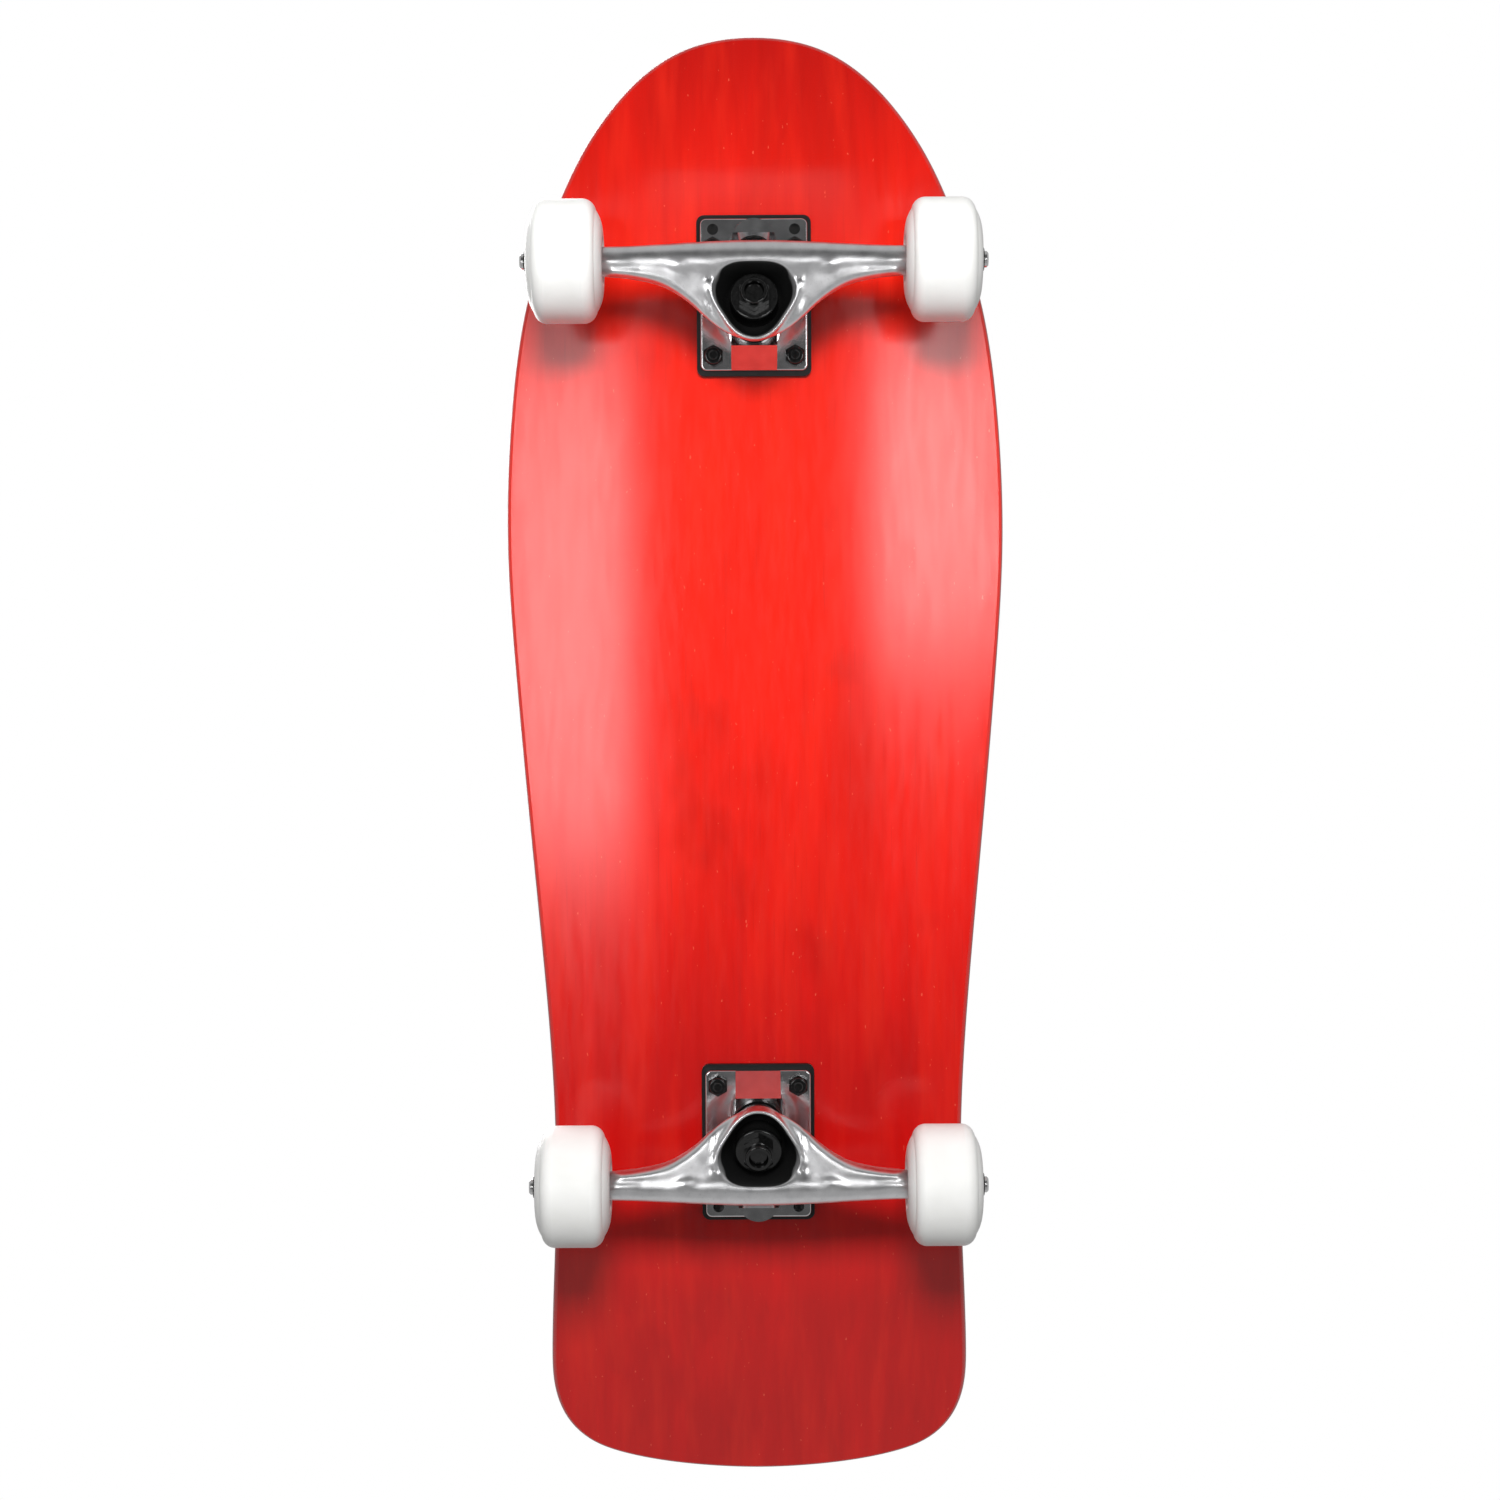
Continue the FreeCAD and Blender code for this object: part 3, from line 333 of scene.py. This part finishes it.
def hanger_casting(end):
    """The same casting, near black inside the recess around the kingpin: painted shade and painted dark
    reflection in the deep recess.
    """
    shader = Shader(end + "_hanger_casting")
    cloud = shader.noise(120.0, 4.0, 0.6)
    base = shader.ramp(cloud, [(0.3, (0.60, 0.60, 0.61)), (0.7, (0.74, 0.74, 0.75))])
    speckle = shader.noise(650.0, 3.0, 0.65)
    pit = shader.span(speckle, 0.60, 0.72, 0.0, 0.35)
    silver = shader.mix(pit, base, (0.40, 0.40, 0.42))
    facing = 1 if end == "front" else -1
    outboard = shader.math("SUBTRACT", shader.axis("X"), AXLES_X[end])
    outboard = shader.math("MULTIPLY", outboard, facing)
    height = shader.axis("Z")
    # The mask below marks the inside of the recess, which is darkened to near black as painted shade.
    mouth_x, mouth_z, mouth_length, mouth_width = RECESS_MOUTH
    waist_x, waist_z, waist_length, waist_width = RECESS_WAIST
    centre = shader.span(height, mouth_z, waist_z, mouth_x, waist_x)
    length = shader.span(height, mouth_z, waist_z, mouth_length, waist_length)
    width = shader.span(height, mouth_z, waist_z, mouth_width, waist_width)
    inboard = shader.math("DIVIDE", shader.math("SUBTRACT", centre, outboard), length)
    across = shader.math("DIVIDE", shader.axis("Y"), width)
    radius = shader.math("SQRT", shader.math("ADD", shader.math("MULTIPLY", inboard, inboard),
                                             shader.math("MULTIPLY", across, across)))
    angle = shader.math("MULTIPLY", shader.math("ARCTAN2", across, inboard), RECESS_CORNERS)
    corner = shader.math("MULTIPLY", shader.math("COSINE", angle), RECESS_CORNER_REACH)
    edge = shader.math("ADD", corner, 1.0)
    share = shader.math("DIVIDE", radius, edge)
    inside = shader.span(share, 1.015, 1.035, 1.0, 0.0)
    below_yoke = shader.span(height, YOKE_Z, YOKE_Z + RECESS_SHADE_BORDER, 1.0, 0.0)
    recess_shade = shader.math("MULTIPLY", inside, below_yoke)
    # Near black inside the recess: painted shade and painted dark reflection.
    shader.colour(shader.mix(recess_shade, silver, (0.004, 0.004, 0.004)))
    polish = shader.span(cloud, 0.3, 0.7, 0.29, 0.38)
    # Rougher and not metallic where the painted shade lies.
    painted = shader.math("MULTIPLY", recess_shade, 0.20)
    shader.rough(shader.math("ADD", polish, painted))
    metal = shader.math("SUBTRACT", 1.0, recess_shade)
    shader.join(metal, shader.main.inputs["Metallic"])
    ripple = shader.noise(420.0, 3.0, 0.6)
    shader.bump(ripple, 0.03, 0.0006)
    return shader.material


def white_urethane():
    """Wheels: a little light goes in and comes out again."""
    shader = Shader("white_urethane")
    cloud = shader.noise(60.0, 3.0, 0.5)
    shader.colour(shader.ramp(cloud, [(0.3, (0.79, 0.79, 0.77)), (0.7, (0.83, 0.83, 0.815))]))
    fine = shader.noise(1800.0, 2.0, 0.5)
    shader.rough(shader.span(fine, 0.3, 0.7, 0.36, 0.46))
    shader.bump(fine, 0.05, 0.0002)
    shader.set(Subsurface_Weight=0.25, Subsurface_Scale=0.004, IOR=1.45)
    shader.main.inputs["Subsurface Radius"].default_value = (1.0, 1.0, 0.95)
    return shader.material


def black_rubbery(name, roughness, grey):
    """Rubber and plastic: near black, with a weak shine."""
    shader = Shader(name)
    fine = shader.noise(1500.0, 3.0, 0.6)
    shader.colour(shader.ramp(fine, [(0.3, grey * 0.8), (0.75, grey * 1.6)]))
    shader.rough(shader.span(fine, 0.3, 0.7, roughness - 0.05, roughness + 0.07))
    shader.bump(fine, 0.15, 0.0002)
    shader.set(Specular_IOR_Level=0.3)
    return shader.material


def black_steel():
    """Hardware with a glossy black finish."""
    shader = Shader("black_steel")
    fine = shader.noise(700.0, 3.0, 0.6)
    shader.colour(shader.ramp(fine, [(0.3, 0.002), (0.8, 0.008)]))
    shader.rough(shader.span(fine, 0.3, 0.7, 0.10, 0.18))
    shader.bump(fine, 0.06, 0.0002)
    return shader.material


def bright_steel():
    """Plated steel with lines from the grinding wheel."""
    shader = Shader("bright_steel")
    lines = shader.noise(1.0, 3.0, 0.6, shader.stretched((3000, 400, 3000)))
    shader.colour(shader.ramp(lines, [(0.3, 0.52), (0.7, 0.66)]))
    shader.rough(shader.span(lines, 0.3, 0.7, 0.16, 0.28))
    shader.set(Metallic=1.0)
    return shader.material


def floor_paint():
    """Pale floor that is only there from above."""
    shader = Shader("floor")
    cloud = shader.noise(3.0, 3.0, 0.5)
    shader.colour(shader.ramp(cloud, [(0.3, 0.80), (0.7, 0.84)]))
    shader.set(Roughness=0.7)
    clear = shader.add("ShaderNodeBsdfTransparent")
    choose = shader.add("ShaderNodeMixShader")
    shader.join(shader.add("ShaderNodeNewGeometry").outputs["Backfacing"], choose.inputs[0])
    shader.join(shader.main.outputs[0], choose.inputs[1])
    shader.join(clear.outputs[0], choose.inputs[2])
    shader.join(choose.outputs[0], shader.tree.nodes["Material Output"].inputs["Surface"])
    return shader.material


# -------------------------------------------------------------------- trucks
def lathe(name, profile, origin, direction, steps=64):
    """A closed ring turned from (radius, height) points about an axis in the XZ plane."""
    side = Vector((0, 1, 0))
    front = direction.cross(side)
    points = []
    faces = []
    for i in range(steps):
        turn = 2 * math.pi * i / steps
        outward = side * math.sin(turn) + front * math.cos(turn)
        points += [origin + direction * height + outward * radius for radius, height in profile]
    count = len(profile)
    for i in range(steps):
        for j in range(count):
            here, beyond = i * count, (i + 1) % steps * count
            k = (j + 1) % count
            faces.append([here + j, here + k, beyond + k, beyond + j])
    mesh = bpy.data.meshes.new(name)
    mesh.from_pydata(points, [], faces)
    mesh.update()
    return mesh


def kingpin_frame(end):
    """The middle of the yoke and the way down the kingpin."""
    facing = 1 if end == "front" else -1
    origin = Vector((AXLES_X[end] + facing * YOKE_X, 0, YOKE_Z))
    return origin, Vector((facing * math.sin(KINGPIN_LEAN), 0, -math.cos(KINGPIN_LEAN)))


def bushing_profiles():
    """Profiles of the barrel above the yoke and the cone below it, with worn-round corners."""
    barrel = [(BUSHING_HOLE, LOWER_BUSHING[0])]
    for i in range(BUSHING_STEPS + 1):
        share = i / BUSHING_STEPS
        bulge = BUSHING_BULGE * math.sin(math.pi * share) ** 0.5
        height = LOWER_BUSHING[0] + (LOWER_BUSHING[1] - LOWER_BUSHING[0]) * share
        barrel.append((BUSHING_RADIUS - BUSHING_BULGE + bulge, height))
    barrel.append((BUSHING_HOLE, LOWER_BUSHING[1]))
    cone = [(BUSHING_HOLE, UPPER_BUSHING[0]),
            (BUSHING_RADIUS - UPPER_BUSHING_CORNER, UPPER_BUSHING[0])]
    cone_start = UPPER_BUSHING[0] + UPPER_BUSHING_CORNER
    for i in range(CONE_STEPS + 1):
        share = i / CONE_STEPS
        height = cone_start + (UPPER_BUSHING[1] - cone_start) * share
        taper = (BUSHING_RADIUS - UPPER_BUSHING_END) * share**CONE_CURVE
        cone.append((BUSHING_RADIUS - taper, height))
    cone.append((BUSHING_HOLE, UPPER_BUSHING[1]))
    return barrel, cone


def build_bushings(rubber):
    """Rubber rings turned about each kingpin, between the board's fixed washers and the swinging yoke,
    and put on no body.
    """
    barrel, cone = bushing_profiles()
    for end in ENDS:
        origin, down = kingpin_frame(end)
        parts = (("lower_bushing", barrel, LOWER_BUSHING), ("upper_bushing", cone, UPPER_BUSHING[::-1]))
        for part, profile, (fixed, swinging) in parts:
            node = "%s_%s" % (end, part)
            piece = add_piece(node + "_rubber", lathe(node, profile, origin, down), rubber,
                              None)
            smooth_by_angle(piece.data, SHARP_RUBBER)
            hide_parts(node)
            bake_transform(piece)


def wing_reach(y):
    """How far the wing stands inboard of the axle, a smooth curve through WING_REACH."""
    places, reaches = np.array(WING_REACH_MM).T * MM
    slopes = np.gradient(reaches, places)
    i = int(np.clip(np.searchsorted(places, y) - 1, 0, len(places) - 2))
    gap = places[i + 1] - places[i]
    t = min((y - places[i]) / gap, 1.0)
    return ((2 * t**3 - 3 * t**2 + 1) * reaches[i] + (t**3 - 2 * t**2 + t) * gap * slopes[i]
            + (3 * t**2 - 2 * t**3) * reaches[i + 1] + (t**3 - t**2) * gap * slopes[i + 1])


def wing_section(inboard, radius, reach):
    """Half thickness of the wing at a distance inboard of the axle: a flat web, round at its edge."""
    web = max(WING_ROOT_HEIGHT - WING_FALL * inboard, WING_LEAST_HEIGHT)
    start = min(inboard / (WING_FULL_SHARE * radius), 1.0)
    to_edge = min(max(reach - inboard, 0.0) / WING_EDGE, 1.0)
    return web * start**2 * (3 - 2 * start) * math.sqrt(1 - (1 - to_edge) ** 2)


def add_wing(shell, end, side):
    """Adds a smooth axle tube and wing, from the yoke to the end, to a bmesh."""
    facing = 1 if end == "front" else -1
    rings = []
    for y in np.linspace(WING_START, HANGER_HALF_LENGTH - WING_END_GAP, WING_STATIONS):
        slimming = math.cos(math.pi / 2 * min(y / WING_REACH_MM[-1][0] / MM, 1.0)) ** 2
        radius = HANGER_END_RADIUS + (HANGER_MIDDLE_RADIUS - HANGER_END_RADIUS) * slimming
        reach = max(wing_reach(y), radius)
        middle, half = (radius - reach) / 2, (radius + reach) / 2
        fade = min((HANGER_HALF_LENGTH - y) / WING_FADE, 1.0)
        ring = []
        for k in range(WING_CORNERS):
            turn = 2 * math.pi * k / WING_CORNERS
            x = middle + half * math.cos(turn)
            tube_height = radius * math.sqrt(max(1 - (x / radius) ** 2, 0.0))
            wing_height = fade * wing_section(max(-x, 0.0), radius, reach)
            height = (tube_height**WING_BLEND + wing_height**WING_BLEND) ** (1 / WING_BLEND) + WING_COVER
            z = AXLE_Z + math.copysign(height, math.sin(turn))
            ring.append(shell.verts.new((AXLES_X[end] + facing * x, side * y, z)))
        rings.append(ring)
    for ring, beyond in zip(rings, rings[1:]):
        for k in range(WING_CORNERS):
            j = (k + 1) % WING_CORNERS
            shell.faces.new((ring[k], ring[j], beyond[j], beyond[k]))
    shell.faces.new(rings[0])
    shell.faces.new(rings[-1])


def build_hangers():
    """The castings with smooth wings and their sharp edges melted, as from the mould."""
    for end in ENDS:
        node = end + "_hanger"
        mesh = NODES[node].data.copy()
        shell = bmesh.new()
        shell.from_mesh(mesh)
        for side in (-1, 1):
            add_wing(shell, end, side)
        bmesh.ops.recalc_face_normals(shell, faces=shell.faces)
        shell.to_mesh(mesh)
        shell.free()
        piece = add_piece(node + "_casting", mesh, hanger_casting(end), end + "_hanger_assembly")
        melt = piece.modifiers.new("melt", "REMESH")
        melt.mode = "VOXEL"
        melt.voxel_size = MELT_GRID
        melt.use_smooth_shade = True
        soften = piece.modifiers.new("soften", "SMOOTH")
        soften.factor = 0.5
        soften.iterations = MELT_SMOOTHINGS
        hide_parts(node)


# ---------------------------------------------------------------------- deck
def periodic_spline(points, count):
    """A smooth closed curve through points, sampled evenly along its chords."""
    closed = np.vstack([points, points[:1]])
    knots = np.concatenate([[0], np.cumsum(np.linalg.norm(np.diff(closed, axis=0), axis=1))])
    size = len(points)
    gaps = np.diff(knots)
    matrix = np.zeros((size, size))
    right = np.zeros((size, 2))
    for i in range(size):
        before, after = gaps[i - 1], gaps[i]
        matrix[i, i - 1] += after
        matrix[i, i] += 2 * (before + after)
        matrix[i, (i + 1) % size] += before
        step_back = (points[i] - points[i - 1]) / before
        step_on = (closed[i + 1] - points[i]) / after
        right[i] = 3 * (after * step_back + before * step_on)
    slopes = np.linalg.solve(matrix, right)
    slopes = np.vstack([slopes, slopes[:1]])
    samples = np.linspace(0, knots[-1], count, endpoint=False)
    spans = np.clip(np.searchsorted(knots, samples, side="right") - 1, 0, size - 1)
    t = ((samples - knots[spans]) / gaps[spans])[:, None]
    gap = gaps[spans][:, None]
    return ((2 * t**3 - 3 * t**2 + 1) * closed[spans] + (t**3 - 2 * t**2 + t) * gap * slopes[spans]
            + (-2 * t**3 + 3 * t**2) * closed[spans + 1] + (t**3 - t**2) * gap * slopes[spans + 1])


def half_outline(samples):
    """Distance along the deck and half width, from the nose tip to the tail tip."""
    half = np.array(HALF_OUTLINE_MM) * MM
    mirrored = half[1:-1][::-1] * (1, -1)
    loop = periodic_spline(np.vstack([half, mirrored]), samples * 2)
    upper = loop[(loop[:, 1] > 1e-6)]
    return np.vstack([half[:1], upper, half[-1:]])


def outline_normals(outline):
    """Unit vectors from the outline towards the middle of the deck, in the flat sheet."""
    step = np.gradient(outline, axis=0)
    normal = np.stack([-step[:, 1], step[:, 0]], axis=1)
    normal /= np.linalg.norm(normal, axis=1)[:, None]
    normal[0] = (-1, 0)
    normal[-1] = (1, 0)
    return normal


def edge_inset(level):
    """How far the rounded edge is drawn in at a level above the underside."""
    off_middle = abs(level - DECK_THICKNESS / 2)
    return EDGE_ROUNDING - math.sqrt(EDGE_ROUNDING**2 - off_middle**2)


def deck_place(distance, across, level):
    """A point of the bent and dished deck, at a level above its underside."""
    half_way = DECK_THICKNESS / 2
    past_flat = max(abs(across) - FLAT_HALF_WIDTH, 0.0)
    tilt = math.asin(past_flat / (CONCAVE_RADIUS - half_way))
    y = abs(across) if past_flat == 0 else (
        FLAT_HALF_WIDTH + (CONCAVE_RADIUS - level) * math.sin(tilt))
    height = CONCAVE_RADIUS - (CONCAVE_RADIUS - level) * math.cos(tilt)
    start, radius, most = NOSE_BEND if distance > 0 else TAIL_BEND
    past = max(abs(distance) - start, 0.0)
    turn = min(past / (radius - half_way), most)
    straight = past - (radius - half_way) * turn
    x = min(abs(distance), start) + (radius - height) * math.sin(turn) + straight * math.cos(turn)
    z = radius - (radius - height) * math.cos(turn) + straight * math.sin(turn)
    return (MIDDLE_X + math.copysign(x, distance), math.copysign(y, across), DECK_BOTTOM + z)


def ply_mesh(name, low, high, rows, columns):
    """One veneer as a closed sheet with its slice of the rounded edge."""
    outline = half_outline(rows)
    normals = outline_normals(outline)
    last = len(outline) - 1
    points = []
    faces = []

    def inset_outline(level):
        return outline + normals * edge_inset(level)

    def sheet(level, flip):
        """A skin of the veneer; returns its rim, round the deck."""
        edge = inset_outline(level)
        grid = []
        for i in range(last + 1):
            if i in (0, last):
                points.append(deck_place(edge[i][0], 0.0, level))
                grid.append([len(points) - 1] * (columns + 1))
                continue
            row = []
            for j in range(columns + 1):
                across = edge[i][1] * (2 * j / columns - 1)
                points.append(deck_place(edge[i][0], across, level))
                row.append(len(points) - 1)
            grid.append(row)
        for i in range(last):
            for j in range(columns):
                corners = [grid[i][j], grid[i][j + 1], grid[i + 1][j + 1], grid[i + 1][j]]
                face = list(dict.fromkeys(corners))
                faces.append(face[::-1] if flip else face)
        left = [row[0] for row in grid]
        right = [row[-1] for row in grid[1:-1]][::-1]
        return left + right

    def rim(level):
        edge = inset_outline(level)
        ring = []
        for i in range(last + 1):
            points.append(deck_place(edge[i][0], -edge[i][1], level))
            ring.append(len(points) - 1)
        for i in range(last - 1, 0, -1):
            points.append(deck_place(edge[i][0], edge[i][1], level))
            ring.append(len(points) - 1)
        return ring

    rings = [sheet(low, True)]
    for share in (1 / 3, 2 / 3):
        rings.append(rim(low + (high - low) * share))
    rings.append(sheet(high, False))
    for lower, upper in zip(rings, rings[1:]):
        for i in range(len(lower)):
            k = (i + 1) % len(lower)
            faces.append([lower[i], lower[k], upper[k], upper[i]])
    mesh = bpy.data.meshes.new(name)
    mesh.from_pydata(points, [], faces)
    mesh.validate()
    mesh.update()
    smooth_by_angle(mesh, SHARP_VENEER)
    return mesh


def smooth_by_angle(mesh, degrees):
    """Smooth shading, with a crease where faces meet at more than so many degrees."""
    mesh.shade_smooth()
    mesh.set_sharp_from_angle(angle=math.radians(degrees))


def add_piece(name, mesh, material, body):
    """A piece of the visual model, on a body if one is given."""
    piece = bpy.data.objects.new(name, mesh)
    bpy.context.scene.collection.objects.link(piece)
    mesh.materials.clear()
    mesh.materials.append(material)
    if body:
        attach(piece, body)
    return piece


def build_deck():
    """Seven veneers, the lowest with the red face."""
    for index in range(PLY_COUNT):
        low = index * PLY_THICKNESS
        outer = index in (0, PLY_COUNT - 1)
        columns = OUTER_PLY_COLUMNS if outer else INNER_PLY_COLUMNS
        mesh = ply_mesh("ply_%d" % (index + 1), low, low + PLY_THICKNESS, OUTLINE_ROWS, columns)
        material = stained_maple_and_painted_light() if index == 0 else stained_edge(index)
        piece = add_piece("veneer_%d" % (index + 1), mesh, material, "deck_assembly")
        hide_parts("deck_ply_%d" % (index + 1))


# --------------------------------------------------------- CAD nodes' finish
def dress(node, material):
    mesh = NODES[node].data
    mesh.materials.clear()
    mesh.materials.append(material)


def soften_edges(piece, width):
    bevel = piece.modifiers.new("soften", "BEVEL")
    bevel.width = width
    bevel.segments = 2
    bevel.limit_method = "ANGLE"
    bevel.angle_limit = math.radians(SHARP_METAL)
    bevel.harden_normals = True


def dress_all(bushing):
    """A finish for each CAD node that no piece of this script replaces."""
    finishes = {
        "polished_aluminium": polished_casting(), "bright_steel": bright_steel(),
        "black_steel": black_steel(), "white_urethane": white_urethane(),
        "black_urethane": bushing, "black_plastic": black_rubbery("black_plastic", 0.42, 0.004),
        "shield_plastic": black_rubbery("shield_plastic", 0.30, 0.012), "grip": grip_sheet(),
    }
    for part in frame["record"]["subparts"]:
        if part["material_slot"] in finishes:
            dress(part["node"], finishes[part["material_slot"]])
            smooth_by_angle(NODES[part["node"]].data, SHARP_METAL)
    for end in ENDS:
        soften_edges(NODES[end + "_baseplate"], PLATE_BEVEL)
        soften_edges(NODES[end + "_kingpin_nut"], KINGPIN_NUT_BEVEL)
    soften_edges(NODES["mounting_nuts"], MOUNTING_NUT_BEVEL)


# -------------------------------------------------------------------- studio
def area_light(name, centre, size, watts, target):
    """A rectangular light that faces a target, its first side as near to X as it can lie."""
    facing = (Vector(target) - Vector(centre)).normalized()
    side = (Vector((1, 0, 0)) - facing * facing.x).normalized()
    up = facing.cross(side)
    data = bpy.data.lights.new(name, "AREA")
    data.shape = "RECTANGLE"
    data.size, data.size_y = size
    data.energy = watts
    light = bpy.data.objects.new(name, data)
    bpy.context.scene.collection.objects.link(light)
    axes = Matrix((side, -up, -facing)).transposed()
    light.matrix_world = Matrix.Translation(centre) @ axes.to_4x4()
    return light


def build_lights():
    """A soft box on each side, seen only in reflections, a key past the nose and one overhead."""
    boxes = (("soft_box_left", (0.08, -0.59), (0.54, 0.55), 6.3),
             ("soft_box_right", (0.20, 0.58), (0.34, 0.56), 4.8))
    for name, (x, y), size, watts in boxes:
        box = area_light(name, (x, y, SOFT_BOX_Z), size, watts, (x, y, 0))
        box.visible_diffuse = False
    key = area_light("key", (0.62, 0.0, -1.20), (0.30, 0.40), 21.0, (0.02, 0, 0.08))
    key.visible_glossy = False
    area_light("overhead", (0.5, -0.6, 1.9), (1.6, 1.2), 34, (0, 0, 0.05))


def build_world():
    """White to the eye. In reflections, dark below, brighter near the horizon and past the tail."""
    world = bpy.data.worlds.new("studio")
    bpy.context.scene.world = world
    world.use_nodes = True
    tree = world.node_tree
    background = tree.nodes["Background"]
    background.inputs["Color"].default_value = (1, 1, 1, 1)

    def span(value, low, high, out_low, out_high):
        node = tree.nodes.new("ShaderNodeMapRange")
        for key, number in (("From Min", low), ("From Max", high),
                            ("To Min", out_low), ("To Max", out_high)):
            node.inputs[key].default_value = number
        tree.links.new(value, node.inputs["Value"])
        return node.outputs["Result"]

    def join(operation, first, second):
        node = tree.nodes.new("ShaderNodeMath")
        node.operation = operation
        tree.links.new(first, node.inputs[0])
        tree.links.new(second, node.inputs[1])
        return node.outputs[0]

    direction = tree.nodes.new("ShaderNodeSeparateXYZ")
    tree.links.new(tree.nodes.new("ShaderNodeTexCoord").outputs["Generated"], direction.inputs[0])
    horizon = span(direction.outputs["Z"], -0.62, -0.30, 0.11, 0.60)
    past_tail = span(direction.outputs["X"], -0.50, -0.28, 0.45, 0.11)
    mirrored = join("MAXIMUM", horizon, past_tail)
    path = tree.nodes.new("ShaderNodeLightPath")
    glossy = join("MULTIPLY", mirrored, path.outputs["Is Glossy Ray"])
    soft = span(path.outputs["Is Glossy Ray"], 0.0, 1.0, 0.32, 0.0)
    strength = join("ADD", glossy, soft)
    strength = join("MAXIMUM", strength, path.outputs["Is Camera Ray"])
    tree.links.new(strength, background.inputs["Strength"])


def build_floor():
    """A floor for the views from above, unseen from below."""
    mesh = bpy.data.meshes.new("floor")
    corners = [(-FLOOR_HALF, -FLOOR_HALF, 0), (FLOOR_HALF, -FLOOR_HALF, 0),
               (FLOOR_HALF, FLOOR_HALF, 0), (-FLOOR_HALF, FLOOR_HALF, 0)]
    mesh.from_pydata(corners, [], [(0, 1, 2, 3)])
    floor = bpy.data.objects.new("floor", mesh)
    bpy.context.scene.collection.objects.link(floor)
    mesh.materials.append(floor_paint())
    floor.visible_shadow = False
    floor.visible_glossy = False
    floor.visible_diffuse = False


def build_camera():
    """Under the board, looking up, with the nose at the top of the picture."""
    distance = 1.350
    tilt = math.radians(3.35)
    roll = math.radians(-0.31)
    shift_along, shift_across = -0.0141, -0.0032
    focal_length = 63.2
    up = Vector((math.cos(tilt), 0, math.sin(tilt)))
    right = Vector((0, 1, 0))
    forward = Vector((-math.sin(tilt), 0, math.cos(tilt)))
    right_rolled = right * math.cos(roll) + up * math.sin(roll)
    up_rolled = up * math.cos(roll) - right * math.sin(roll)
    look_at = Vector((MIDDLE_X + shift_along, shift_across, DECK_BOTTOM))
    data = bpy.data.cameras.new("camera")
    data.lens = focal_length
    data.sensor_width = 36.0
    camera = bpy.data.objects.new("camera", data)
    bpy.context.scene.collection.objects.link(camera)
    axes = Matrix((right_rolled, up_rolled, -forward)).transposed()
    camera.matrix_world = Matrix.Translation(look_at - forward * distance) @ axes.to_4x4()
    bpy.context.scene.camera = camera


build_deck()
bushing_rubber = black_rubbery("black_urethane", 0.32, 0.004)
dress_all(bushing_rubber)
build_bushings(bushing_rubber)
build_hangers()
build_floor()
build_world()
build_lights()
build_camera()
bpy.context.scene.view_settings.view_transform = "Standard"
